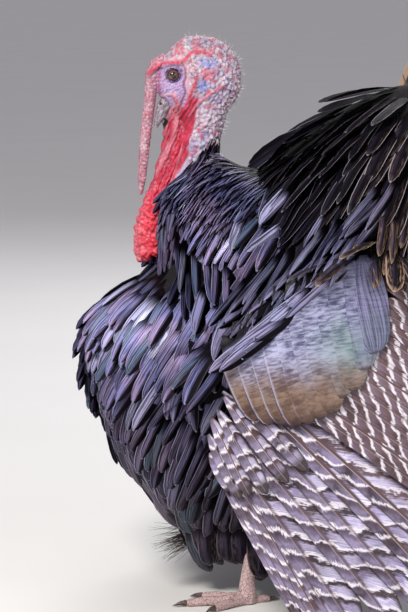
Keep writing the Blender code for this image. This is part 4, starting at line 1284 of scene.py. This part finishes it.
# Broad, bright feathers of the mantle and of the wing's bend, and ragged tan ones at the back's edge, lie
# over the rest, each placed by itself.
# Each row holds the root's x and z, the tip's x and z, the half width in mm, the sheen and the tan.
BROAD = (
    (-0.0387, 0.4923, -0.0906, 0.4450, 12.5, 1.7, 0.0),
    (-0.0455, 0.4560, -0.1168, 0.4060, 12.0, 1.8, 0.0),
    (-0.0945, 0.4716, -0.1257, 0.4180, 10.0, 1.5, 0.0),
    (-0.0620, 0.5050, -0.0960, 0.4480, 9.0, 0.9, 0.0),
    (-0.0060, 0.4690, -0.0560, 0.4190, 10.0, 1.4, 0.0),
    (-0.1230, 0.3690, -0.1650, 0.3090, 12.0, 1.3, 0.0),
    (-0.1470, 0.3860, -0.1760, 0.3300, 10.5, 1.2, 0.0),
    (-0.1050, 0.3570, -0.1370, 0.3120, 10.0, 1.3, 0.0),
    (-0.1520, 0.3300, -0.1560, 0.2660, 11.0, 1.0, 0.0),
    (-0.1720, 0.3300, -0.1690, 0.2650, 11.0, 0.9, 0.0),
    (-0.1850, 0.3150, -0.1780, 0.2450, 11.0, 0.7, 0.0),
    (-0.1380, 0.3200, -0.1400, 0.2720, 9.0, 1.0, 0.0),
    (-0.1690, 0.4300, -0.1840, 0.3760, 6.0, 0.7, 0.0),
    (-0.1610, 0.4280, -0.1740, 0.3700, 6.5, 0.8, 0.0),
    (-0.1530, 0.4260, -0.1640, 0.3660, 6.5, 0.7, 0.0),
    (-0.1440, 0.4240, -0.1540, 0.3620, 7.0, 0.9, 0.0),
    (-0.1350, 0.4200, -0.1450, 0.3600, 7.0, 0.8, 0.0),
    (-0.1250, 0.4150, -0.1370, 0.3550, 7.5, 1.0, 0.0),
    (0.0246, 0.4235, 0.0042, 0.3700, 7.5, 0.4, 1.0),
    (0.0420, 0.4382, 0.0147, 0.3848, 7.5, 0.4, 1.0),
    (0.0610, 0.4525, 0.0313, 0.3967, 7.5, 0.4, 1.0),
    (0.0744, 0.4267, 0.0469, 0.3729, 7.5, 0.4, 1.0),
    (0.0771, 0.3994, 0.0565, 0.3475, 7.5, 0.4, 1.0),
    (0.0554, 0.4080, 0.0349, 0.3587, 7.5, 0.4, 1.0),
    (0.0492, 0.4730, 0.0218, 0.4195, 7.5, 0.4, 1.0),
    (0.0705, 0.4896, 0.0431, 0.4314, 7.5, 0.4, 1.0),
    (0.0864, 0.4582, 0.0635, 0.4053, 7.5, 0.4, 1.0),
    (0.0914, 0.4297, 0.0757, 0.3662, 7.5, 0.4, 1.0),
    (0.0350, 0.3957, 0.0169, 0.3477, 7.5, 0.4, 1.0),
    (0.0330, 0.4460, 0.0100, 0.3920, 6.5, 0.3, 1.0),
    (0.0520, 0.4300, 0.0280, 0.3720, 6.5, 0.3, 1.0),
    (0.0680, 0.4120, 0.0500, 0.3600, 6.5, 0.3, 1.0),
    (0.0830, 0.4440, 0.0620, 0.3900, 6.5, 0.3, 1.0),
    (0.0600, 0.4700, 0.0340, 0.4120, 6.5, 0.3, 1.0),
    (0.0820, 0.4800, 0.0560, 0.4240, 6.5, 0.3, 1.0),
    (0.0980, 0.4500, 0.0780, 0.3920, 6.5, 0.3, 1.0),
    (0.1010, 0.4180, 0.0880, 0.3600, 6.5, 0.3, 1.0),
    (0.0450, 0.3980, 0.0290, 0.3430, 6.5, 0.3, 1.0),
    (0.0660, 0.4400, 0.0440, 0.3850, 6.5, 0.3, 1.0),
    (-0.1083, 0.3889, -0.1354, 0.3411, 9.0, 0.9, 0.0),
    (-0.0934, 0.3817, -0.1207, 0.3317, 9.0, 1.1, 0.0),
    (-0.1208, 0.3959, -0.1501, 0.3504, 8.0, 0.8, 0.0),
    (-0.1037, 0.3708, -0.1308, 0.3186, 9.0, 1.0, 0.0),
    (-0.1253, 0.3759, -0.1534, 0.3250, 8.5, 0.9, 0.0),
    (-0.1728, 0.4010, -0.1949, 0.3559, 7.0, 0.4, 0.0),
    (-0.1601, 0.4029, -0.1779, 0.3531, 7.0, 0.5, 0.0),
    (-0.1659, 0.3940, -0.1859, 0.3444, 7.5, 0.6, 0.0),
)
for side, sign in SIDES:
    draw = np.random.default_rng(17)
    # The sheen column sets how strongly sheen is painted on each of these feathers.
    root_x, root_z, tip_x, tip_z, half, broad_sheen, tan = np.array(BROAD).T
    count = len(BROAD)
    root = np.array([seat_at(x, z, sign) for x, z in zip(root_x, root_z, strict=True)])
    stand = np.array([abs(seat_at(x, z, sign)[1]) for x, z in zip(tip_x, tip_z, strict=True)]) + 0.024
    tip = threes(count, tip_x, sign * stand, tip_z)
    root[:, 1] += 0.008 * sign
    sways = draw.normal(0, 0.05, count)
    rolls = np.radians(draw.normal(14, 5, count)) * -sign
    row = feathered(
        f"coat_broad_{side}",
        PLUME[side],
        plumage,
        18,
        ruffle=0.05,
        root=root,
        lie=unit(tip - root),
        out=square_to(unit(tip - root), np.array((0.0, sign, 0.0))),
        size=threes(count, np.linalg.norm(tip - root, axis=1), half / 1000, sways),
        bend=threes(count, 0.16, -0.32, rolls),
        place=spread_map(root),
        mark=threes(count, broad_sheen, 0.6, tan),
    )

# ---------------------------------------------------------------- wings
# Each wing hangs half open with its quills towards the ground: ten barred primaries from the hand, fourteen
# barred secondaries from the forearm, and over their roots the glossy bronze coverts that make the panel.
# Long feathers of the shoulder close over the top of it.
QUILL_OUTLINE = (
    (0.00, 0.08), (0.05, 0.20), (0.14, 0.62), (0.28, 0.90), (0.45, 1.00), (0.62, 1.00),
    (0.76, 0.95), (0.87, 0.82), (0.94, 0.62), (0.98, 0.38), (1.00, 0.12),
)
COVERT_OUTLINE = (
    (0.00, 0.20), (0.10, 0.55), (0.25, 0.85), (0.45, 1.00), (0.65, 1.00),
    (0.80, 0.93), (0.90, 0.76), (0.96, 0.52), (1.00, 0.16),
)
QUILL_ACROSS = (-1.0, -0.72, -0.40, -0.07, 0.0, 0.07, 0.40, 0.72, 1.0)
CREST_X, CREST_Z = -0.0263, 0.300  # where along and up the wing it stands CREST_OUT from the bird's middle
CREST_OUT, BOW = 0.199, 1.40


def wing_out(x, z):
    """How far the folded wing stands out from the bird's middle: more lower down, less at both its ends."""
    fall = np.where(z < CREST_Z, 0.17, 0.20)
    return CREST_OUT + fall * (CREST_Z - z) - BOW * (x - CREST_X) ** 2 * np.where(x < CREST_X, 1.0, 0.55)


def from_end_to_end(count):
    return np.linspace(0, 1, count)


def within_ends(count):
    return (np.arange(count) + 0.5) / count


def on_curve(line, share):
    """Points (x, z) along a smooth curve of three points, or along a line of any other number of them."""
    line, share = np.array(line), np.asarray(share)
    if len(line) == 3:
        share = share[:, None]
        return line[0] * (1 - share) ** 2 + line[1] * 2 * share * (1 - share) + line[2] * share**2
    stops = np.linspace(0, 1, len(line))
    return np.stack([np.interp(share, stops, line[:, axis]) for axis in (0, 1)], 1)


def strips(count):
    """The bake map's places of a row of long feathers, side by side in upright strips."""
    return threes(count, within_ends(count), 0.5, 0.0)


def wing_row(name, side, blank, dressing, shares, bases, ends, half, lift, mark, roll, seed, sway=0.0):
    """A row of quills on one wing, from one line (x, z) to another. Half widths and heights off the wing
    are in mm, the roll in degrees. half and each part of mark may change along the row."""
    sign = dict(SIDES)[side]
    draw = np.random.default_rng(seed)
    share = np.array(shares)
    count = len(share)
    base, end = on_curve(bases, share), on_curve(ends, share)
    end = base + (end - base) * draw.normal(1.0, 0.02, count)[:, None]
    lift = np.array(lift) / 1000

    def along_row(values):
        values = np.atleast_1d(values)
        return np.interp(share, np.linspace(0, 1, len(values)), values)

    def at(flat, height):
        return threes(count, flat[:, 0], sign * (wing_out(flat[:, 0], flat[:, 1]) + height), flat[:, 1])

    root, tip, middle = at(base, lift[0]), at(end, lift[1]), at((base + end) / 2, lift.mean())
    reach = np.linalg.norm(tip - root, axis=1)
    lie = unit(tip - root)
    step = 0.001
    x, z = (base[:, 0] + end[:, 0]) / 2, (base[:, 1] + end[:, 1]) / 2
    slope_x = (wing_out(x + step, z) - wing_out(x - step, z)) / (2 * step)
    slope_z = (wing_out(x, z + step) - wing_out(x, z - step)) / (2 * step)
    out = square_to(lie, threes(count, -slope_x, sign, -slope_z))
    bowed = ((middle - (root + tip) / 2) * out).sum(1)
    rolls = np.radians(draw.normal(roll, 0.08 * abs(roll), count)) * -sign
    return feathered(
        f"{name}_{side}",
        blank[side],
        dressing,
        seed,
        ruffle=0.02,
        patch=(0.9 / count, 0.96, 0.0),
        root=root,
        lie=lie,
        out=out,
        size=threes(count, reach, along_row(half) / 1000, sway),
        bend=threes(count, 4 * bowed / reach, -8 * bowed / reach - 1e-3, rolls),
        place=strips(count),
        mark=threes(count, *(along_row(part) for part in mark)),
    )


QUILL = blanks("quill", QUILL_OUTLINE, QUILL_ACROSS, camber=0.16, lead=0.36, shaft=0.050)
COVERT = blanks("covert", COVERT_OUTLINE, QUILL_ACROSS, camber=0.10, lead=0.85, shaft=0.020)

# Barred quills: brown vanes crossed by wavy white bars, with pools of painted lavender sheen between the
# bars, a painted shadow below each bar and a brown shaft with a painted highlight down one side. The bars run
# on from feather to feather, square to the way that mark turns them. Mark also carries how much painted sheen
# shows and how dark the tip is.
BAR_PITCH = 0.0190
barred, recipe, shader = finish("barred_quill", specular_ior_level=0.30)
vane, mark, chance = recipe.read("vane"), recipe.read("mark"), recipe.read("tone", "Fac")
place = recipe.here()
s, t = vane.part(0), vane.part(1)
turn, lavender_sheen, dark_tip = mark.part(0), mark.part(1), mark.part(2)
wavy = recipe.noise(place, 38.0, 3.0, 0.6)
run = (place.part(0) * turn.cosine() + place.part(2) * turn.sine()) / turn.step(0.3, 1.2, 0.74, 1.0)
ragged = recipe.noise(recipe.join(t * 150.0 - abs(s) * 20.0, s * 1.5, chance * 30.0), 1.0, 3.0, 0.7)
long_quill = turn.step(0.3, 1.2)
shown = s.at_least(0.0) - 0.45
scalloped = shown * shown * 0.75 + s * 0.10
phase = run / BAR_PITCH + scalloped + wavy * 1.5 + ragged * 0.65 + chance * 0.6
bar = (phase * 2 * math.pi).sine()
trailing = s.step(0.02, 0.14)
white = (bar - long_quill * 0.14).step(0.56, 0.80)
# A painted shadow below each white bar.
shadow = ((phase * 2 * math.pi + 1.5).sine() - long_quill * lavender_sheen * 0.45).step(-0.45, 0.70)
barbs = (t * 420.0 - abs(s) * 60.0).sine()
brown = recipe.mix(chance, (0.026, 0.012, 0.015), (0.085, 0.044, 0.048))
lit = recipe.mix(wavy.step(0.32, 0.62), (0.32, 0.26, 0.46), (0.78, 0.72, 0.98))
cloud = recipe.noise(place, 9.0, 2.0).step(0.34, 0.60)
# Painted sheen in pools between the bars, kept out of the painted shadow.
sheen_pool = lavender_sheen * s.step(0.04, 0.16) * s.step(1.0, 0.60) * (1 - shadow) * (0.40 + 0.60 * cloud)
warm = (place.part(0) + place.part(2) * 0.9).step(0.130, 0.210) * wavy.step(0.30, 0.55)
sheen_pool = sheen_pool * (1 - 0.55 * warm)
brown = recipe.mix(warm * 0.6, brown, (0.150, 0.078, 0.068))
colour = recipe.mix(sheen_pool, brown, lit)
split = ragged.step(0.50, 0.66) * lavender_sheen * trailing * (1 - shadow)
colour = recipe.mix(split * 0.5, colour, (0.085, 0.055, 0.085))
leading = recipe.mix(wavy.step(0.3, 0.7), (0.036, 0.022, 0.034), (0.260, 0.215, 0.340))
colour = recipe.mix((1 - trailing) * (1 - 0.6 * shadow) * long_quill.step(0, 1, 0.35, 1.0), colour, leading)
bar_colour = recipe.mix(wavy, (0.62, 0.54, 0.58), (0.94, 0.90, 0.96))
colour = recipe.mix(white * t.step(0.03, 0.10) * (0.80 + 0.20 * barbs), colour, bar_colour)
colour = recipe.mix(dark_tip * t.step(0.82, 0.91), colour, (0.050, 0.036, 0.040))
colour = recipe.mix((0.10 + 0.10 * barbs) * trailing, colour, (0.02, 0.015, 0.02))
colour = recipe.mix(abs(s).step(0.90, 0.99) * 0.5, colour, (0.035, 0.024, 0.026))
# The shaft: a painted highlight along its leading side, dark brown behind it.
shaft = recipe.mix(s.step(-0.07, 0.00), (0.46, 0.37, 0.38), (0.090, 0.048, 0.044))
shaft_line = abs(s).step(0.090, 0.065) * (0.62 + 0.38 * chance.step(0.55, 0.65))
colour = recipe.mix(shaft_line, colour, shaft)
wear(recipe, shader, base_color=colour, roughness=wavy * 0.2 + 0.34, normal=recipe.bump(barbs, 0.25, 0.0003))

# The panel's coverts: broad and glossy, silver-blue in front and at the top, green behind and gold to bronze
# below, darker across in ripples, with faint bars towards their ends. Mark turns the hindmost slate-blue.
# The highest take painted shade where the shoulder's feathers lie over them, and those near the wrist a
# painted highlight inside their leading edge and a painted shade line along it.
bronze, recipe, shader = finish("bronze_covert", metallic=0.30, specular_ior_level=0.35)
place, vane, chance = recipe.here(), recipe.read("vane"), recipe.read("tone", "Fac")
s, t = vane.part(0), vane.part(1)
wander = recipe.noise(place, 30.0, 3.0) * 0.05 - 0.025
low = place.part(2) + wander + chance * 0.012
further_back = (place.part(0) + wander).step(-0.085, 0.000)
ripple = recipe.noise(recipe.join(t * 60.0, s * 1.6, chance * 30.0), 1.0, 2.0)
across = ripple * 0.60 + recipe.noise(place, 40.0, 4.0, 0.6) * 0.40
silver = recipe.mix(across.step(0.34, 0.64), (0.060, 0.062, 0.140), (0.440, 0.440, 0.620))
green = recipe.mix(across.step(0.28, 0.70), (0.080, 0.130, 0.150), (0.290, 0.360, 0.380))
green = recipe.mix(further_back, silver, green)
gold = recipe.mix(across.step(0.28, 0.70), (0.110, 0.058, 0.040), (0.270, 0.180, 0.130))
gold = recipe.mix(low.step(0.272, 0.240) * 0.85, gold, (0.075, 0.032, 0.024))
colour = recipe.mix(low.step(0.372, 0.335), silver, green)
colour = recipe.mix(low.step(0.330, 0.270), colour, gold)
bars = (t * 46.0 + recipe.noise(vane, 4.0) * 3.0).sine()
colour = recipe.mix(low.step(0.300, 0.255) * bars.step(0.35, 0.90) * 0.6, colour, (0.070, 0.036, 0.024))
colour = recipe.mix(t.step(0.965, 0.99) * 0.6, colour, (0.05, 0.04, 0.045))
barbs = (t * 330.0 - abs(s) * 50.0 + recipe.noise(vane, 2.0) * 8.0).sine()
colour = recipe.mix(0.10 + 0.08 * barbs, colour, (0.05, 0.045, 0.06))
# Near the wrist: a painted highlight inside each leading edge, and painted shade along the edge itself.
near_wrist = place.part(0).step(-0.060, -0.100)
colour = recipe.mix((-s).step(0.72, 0.88) * near_wrist * 0.5, colour, (0.46, 0.44, 0.58))
colour = recipe.mix((-s).step(0.90, 0.95) * (0.30 + 0.65 * near_wrist), colour, (0.035, 0.025, 0.040))
fanned = recipe.noise(recipe.join(s * 11.0 - t * 7.0, t * 1.5, chance * 30.0), 1.0, 3.0)
slate = recipe.mix(fanned.step(0.38, 0.62), (0.030, 0.026, 0.055), (0.200, 0.190, 0.330))
colour = recipe.mix(recipe.read("mark").part(0), colour, slate)
stained = low.step(0.262, 0.236) * recipe.noise(place, 75.0, 3.0).step(0.44, 0.58)
colour = recipe.mix(stained * 0.85, colour, (0.026, 0.010, 0.012))
# Painted shade under the shoulder's feathers, darkest at the top.
below = place.part(2) - place.part(0) * 0.70
colour = recipe.mix(below.step(0.385, 0.420) * 0.55, colour, (0.030, 0.028, 0.060))
colour = recipe.mix(below.step(0.417, 0.428), colour, (0.008, 0.007, 0.011))
rough = recipe.noise(place, 90.0) * 0.2 + 0.30
wear(recipe, shader, base_color=colour, roughness=rough, normal=recipe.bump(barbs, 0.30, 0.0003))

# The wing's lines of roots and of tips, all as (x, z) on its face.
PRIMARY_BASES = (
    (-0.152, 0.304), (-0.150, 0.295), (-0.150, 0.270), (-0.152, 0.243), (-0.150, 0.209),
    (-0.151, 0.202), (-0.152, 0.195), (-0.153, 0.188), (-0.155, 0.182), (-0.157, 0.176),
)
PRIMARY_TIPS = (
    (0.120, 0.070), (0.094, 0.050), (0.070, 0.027), (0.036, 0.014), (-0.008, 0.010),
    (-0.027, 0.009), (-0.041, 0.009), (-0.052, 0.009), (-0.061, 0.009), (-0.068, 0.010),
)
PRIMARY_HALVES = (34, 34, 34, 34, 33, 17, 15, 14, 13, 12)
COVERT_BASES = (
    (-0.140, 0.272), (-0.150, 0.266), (-0.158, 0.253), (-0.165, 0.244), (-0.168, 0.225), (-0.167, 0.205),
)
COVERT_TIPS = (
    (-0.064, 0.187), (-0.085, 0.1736), (-0.108, 0.1611), (-0.125, 0.155), (-0.137, 0.157), (-0.1455, 0.162),
)
SECONDARY_BASES = ((-0.120, 0.284), (0.040, 0.385))
SECONDARY_TIPS = ((0.145, 0.105), (0.220, 0.150), (0.2357, 0.272))
PANEL_BASES = ((-0.160, 0.325), (-0.081, 0.425), (0.015, 0.420))
PANEL_TIPS = ((-0.125, 0.248), (-0.042, 0.198), (0.022, 0.322))
HINDMOST = (0, 0, 0, 0, 0, 1)
for side, sign in SIDES:
    row = wing_row(
        "primaries", side, QUILL, barred, from_end_to_end(10), PRIMARY_BASES, PRIMARY_TIPS,
        half=PRIMARY_HALVES, lift=(-7, -4), mark=(1.35, (1.0, 0.45), 0.0), roll=7.0, seed=21,
        sway=-0.02 * sign,
    )
    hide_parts(f"wing_{side}_primaries")
    row = wing_row(
        "secondaries", side, QUILL, barred, within_ends(14), SECONDARY_BASES, SECONDARY_TIPS,
        half=(26, 22), lift=(0, 0), mark=(0.25, (0.42, 0.18), 0.0), roll=8.0, seed=22,
        sway=-0.03 * sign,
    )
    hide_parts(f"wing_{side}_secondaries")
    row = wing_row(
        "primary_coverts", side, COVERT, barred, from_end_to_end(6), COVERT_BASES, COVERT_TIPS,
        half=(11, 9), lift=(3, 3), mark=(2.1, (0.7, 0.5), 1.0), roll=20.0, seed=23,
    )
    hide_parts(f"wing_{side}_alula")
    row = wing_row(
        "panel", side, COVERT, bronze, within_ends(11), PANEL_BASES, PANEL_TIPS,
        half=(17, 26), lift=(15, 7), mark=(HINDMOST, 0.0, 0.0), roll=4.0, seed=24,
    )
    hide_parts(f"wing_{side}_panel")

# Long glossy feathers of the shoulder, in three rows. Each row holds the tips' line from and to (x, z), how
# far back and up the roots are from the tips, the count, the half width in mm and the roll in degrees.
SHOULDER_ROWS = (
    ((-0.174, 0.296), (-0.012, 0.410), (0.084, 0.058), 17, 11.0, 24.0),
    ((-0.168, 0.320), (0.000, 0.432), (0.076, 0.054), 18, 10.0, 28.0),
    ((-0.166, 0.344), (0.012, 0.454), (0.070, 0.052), 19, 9.5, 32.0),
)
for side, sign in SIDES:
    for layer, (first, last, back_and_up, count, half, roll) in enumerate(SHOULDER_ROWS):
        draw = np.random.default_rng(50 + layer)
        share = (np.arange(count) + 0.5 * (layer % 2) + 0.25) / count
        ends = on_curve((first, last), share) + draw.normal(0, 0.004, (count, 2))
        root = np.array([seat_at(x, z, sign) for x, z in ends + back_and_up])
        stand = 0.016 + np.maximum(wing_out(ends[:, 0], ends[:, 1]) + 0.004 * layer, np.abs(root[:, 1]))
        tip = threes(count, ends[:, 0], sign * stand, ends[:, 1])
        rolls = np.radians(draw.normal(roll, 5.0, count)) * -sign
        halves = draw.normal(half, 0.8, count) / 1000
        sways = draw.normal(0, 0.04, count)
        row = feathered(
            f"shoulder_{layer + 1}_{side}",
            PLUME[side],
            plumage,
            60 + layer,
            ruffle=0.06,
            root=root,
            lie=unit(tip - root),
            out=square_to(unit(tip - root), np.array((0.0, sign, 0.0))),
            size=threes(count, np.linalg.norm(tip - root, axis=1) * 1.02, halves, sways),
            bend=threes(count, 0.20, -0.40, rolls),
            place=spread_map(root),
            mark=threes(count, 1.3, 0.5, 0.0),
        )

# ---------------------------------------------------------------- tail
# Eighteen broad tail feathers stand in an upright fan on the rump, with three shorter rows of coverts in
# front of their roots. They are finely barred brown and black, with a black band and a buff end.
TAIL_POINT = np.array((0.1597, 0.0, 0.4460))  # where the lines of all the shafts meet
TAIL_LEAN = np.array(Matrix.Rotation(math.radians(20.0), 3, "Y"))
TAIL_REACH, TAIL_CUP = 0.370, 0.012  # the fan's radius, and how far forward its edge is bent
TAIL_OUTLINE = (
    (0.00, 0.06), (0.12, 0.22), (0.30, 0.44), (0.50, 0.66), (0.70, 0.86),
    (0.84, 0.97), (0.92, 1.00), (0.965, 0.90), (0.99, 0.66), (1.00, 0.40),
)
TAIL_QUILL = feather_blank("tail_quill", TAIL_OUTLINE, QUILL_ACROSS, 1.0, camber=0.05, vane=0.006)

tail_finish, recipe, shader = finish("tail_feather", metallic=0.05)
vane, mark, chance = recipe.read("vane"), recipe.read("mark"), recipe.read("tone", "Fac")
s, t = vane.part(0), vane.part(1)
reach, gloss = mark.part(0), mark.part(1)  # the feather's length as a share of the longest, and its sheen
end = (1.0 - t) * reach  # how far from its end, as a share of the longest feather
wavy = recipe.noise(vane * Vector((1.0, 3.0, 1.0)) + chance * 9.0, 4.0, 3.0, 0.6)
fine_bars = (t * reach * 190.0 + wavy * 9.0 + abs(s) * 5.0).sine()
colour = recipe.mix(fine_bars.step(-0.4, 0.5) * 0.85, (0.022, 0.014, 0.012), (0.135, 0.080, 0.050))
colour = recipe.mix((end + wavy * 0.03 - 0.015).step(0.185, 0.165), colour, (0.008, 0.007, 0.008))
colour = recipe.mix((end + wavy * 0.02 - 0.010).step(0.075, 0.060), colour, (0.42, 0.27, 0.16))
colour = recipe.mix(end.step(0.015, 0.004) * 0.6, colour, (0.60, 0.47, 0.34))
# A painted sheen, as strong as gloss, in patches away from the feather's end.
shine = recipe.noise(vane, 2.0).step(0.3, 0.7) * gloss * end.step(0.05, 0.12)
colour = recipe.mix(shine * 0.6, colour, (0.110, 0.060, 0.040))
barbs = (t * reach * 700.0 - abs(s) * 60.0).sine()
colour = recipe.mix(abs(s).step(0.050, 0.030), colour, (0.11, 0.065, 0.040))
wear(recipe, shader, base_color=colour, roughness=wavy * 0.2 + 0.38, normal=recipe.bump(barbs, 0.25, 0.0003))


def fan_row(name, count, spread, start, reach, half, lift, gloss, seed, roll, curl):
    """Feathers fanned evenly in the tail's plane, each over the next one out from the middle. They run
    from start to reach, measured from the tail's point, and stand as far ahead of the plane as lift."""
    draw = np.random.default_rng(seed)
    angle = np.radians(np.linspace(-spread, spread, count))
    lie = threes(count, 0.0, np.sin(angle), np.cos(angle)) @ TAIL_LEAN.T
    ahead = threes(count, *(TAIL_LEAN @ np.array((-1.0, 0.0, 0.0))))
    cup = TAIL_CUP * (reach / TAIL_REACH) ** 2 * 2 / reach + curl
    made = feathered(
        name,
        TAIL_QUILL,
        tail_finish,
        seed,
        ruffle=0.02,
        patch=(0.9 / count, 0.96, 0.0),
        root=TAIL_POINT + lie * start + ahead * lift,
        lie=lie,
        out=ahead,
        size=threes(count, (reach - start) * draw.normal(1.0, 0.012, count), half, 0.0),
        bend=threes(count, 0.0, cup + 1e-3, np.radians(roll) * np.sign(angle + 1e-6)),
        place=strips(count),
        mark=threes(count, reach / TAIL_REACH, gloss, 0.0),
    )
    return made


fan = fan_row("tail_feathers", 18, 86.0, 0.050, 0.372, 0.039, 0.000, 0.2, 31, roll=5.0, curl=0.0)
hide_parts("tail_fan")
coverts = fan_row("tail_coverts_long", 15, 84.0, 0.045, 0.235, 0.028, 0.013, 0.6, 32, roll=6.0, curl=0.1)
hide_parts("tail_coverts")
fan_row("tail_coverts_middle", 14, 82.0, 0.030, 0.170, 0.024, 0.022, 0.8, 33, roll=8.0, curl=0.2)
fan_row("tail_coverts_short", 12, 80.0, 0.020, 0.115, 0.020, 0.030, 0.9, 34, roll=10.0, curl=0.3)

# ---------------------------------------------------------------- beard
# A tuft of coarse black bristles, not true feathers, that grows out of the skin in the middle of the breast
# and hangs forward. The few hairs on the bare skin of the head are made the same way.
BEARD_ROOT, BEARD_TIP = np.array((-0.1223, 0.0, 0.0860)), np.array((-0.1833, 0.0, 0.0500))
BRISTLE_OUTLINE = ((0.0, 1.0), (0.25, 0.95), (0.5, 0.85), (0.75, 0.65), (1.0, 0.15))
BRISTLE = feather_blank("bristle", BRISTLE_OUTLINE, (-1.0, 0.0, 1.0), 1.0, camber=0.0, shaft=0.9)

beard_finish, recipe, shader = finish("beard_bristle")
chance, vane = recipe.read("tone", "Fac"), recipe.read("vane")
colour = recipe.mix(chance, (0.020, 0.014, 0.014), (0.085, 0.055, 0.050))
colour = recipe.mix(vane.part(1).step(0.7, 1.0) * 0.5, colour, (0.11, 0.07, 0.06))
wear(recipe, shader, base_color=colour, roughness=chance * 0.2 + 0.35)
draw = np.random.default_rng(41)
count = 130
hang = (BEARD_TIP - BEARD_ROOT) / np.linalg.norm(BEARD_TIP - BEARD_ROOT)
lie = unit(hang + draw.normal(0, 0.10, (count, 3)))
beard = feathered(
    "beard_bristles",
    BRISTLE,
    beard_finish,
    41,
    root=BEARD_ROOT + draw.normal(0, 1, (count, 3)) * (0.004, 0.006, 0.004),
    lie=lie,
    out=unit(np.cross(lie, (0.0, -1.0, 0.0))),
    size=threes(count, draw.uniform(0.050, 0.078, count), 0.0006, draw.normal(0, 0.08, count)),
    bend=threes(count, draw.normal(-0.1, 0.10, count), draw.normal(0.35, 0.15, count), 0.0),
    place=threes(count, draw.uniform(0.1, 0.9, count), draw.uniform(0.1, 0.9, count), 0.0),
    mark=np.zeros((count, 3)),
)
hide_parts("beard")

# The hairs of the head, pale and sparse over the nape.
hair_finish, recipe, shader = finish("head_hair", roughness=0.6)
hair_colour = recipe.mix(recipe.read("tone", "Fac"), (0.42, 0.38, 0.42), (0.74, 0.70, 0.72))
wear(recipe, shader, base_color=hair_colour)
draw = np.random.default_rng(42)
picked = draw.choice(np.flatnonzero((nape > 0.6) & (Z > 0.535)), 420, replace=False)
count = len(picked)
lie = unit(N[picked] + draw.normal(0, 0.30, (count, 3)))
hairs = feathered(
    "head_hairs",
    BRISTLE,
    hair_finish,
    42,
    root=P[picked],
    lie=lie,
    out=unit(np.cross(lie, (0.3, 0.2, 1.0))),
    size=threes(count, draw.uniform(0.004, 0.0085, count), 0.00016, draw.normal(0, 0.2, count)),
    bend=threes(count, draw.normal(0, 0.2, count), draw.normal(0.4, 0.2, count), 0.0),
    place=spread_map(P[picked]),
    mark=np.zeros((count, 3)),
)

for blank in (*PLUME.values(), *QUILL.values(), *COVERT.values(), TAIL_QUILL, BRISTLE):
    bpy.data.objects.remove(blank)
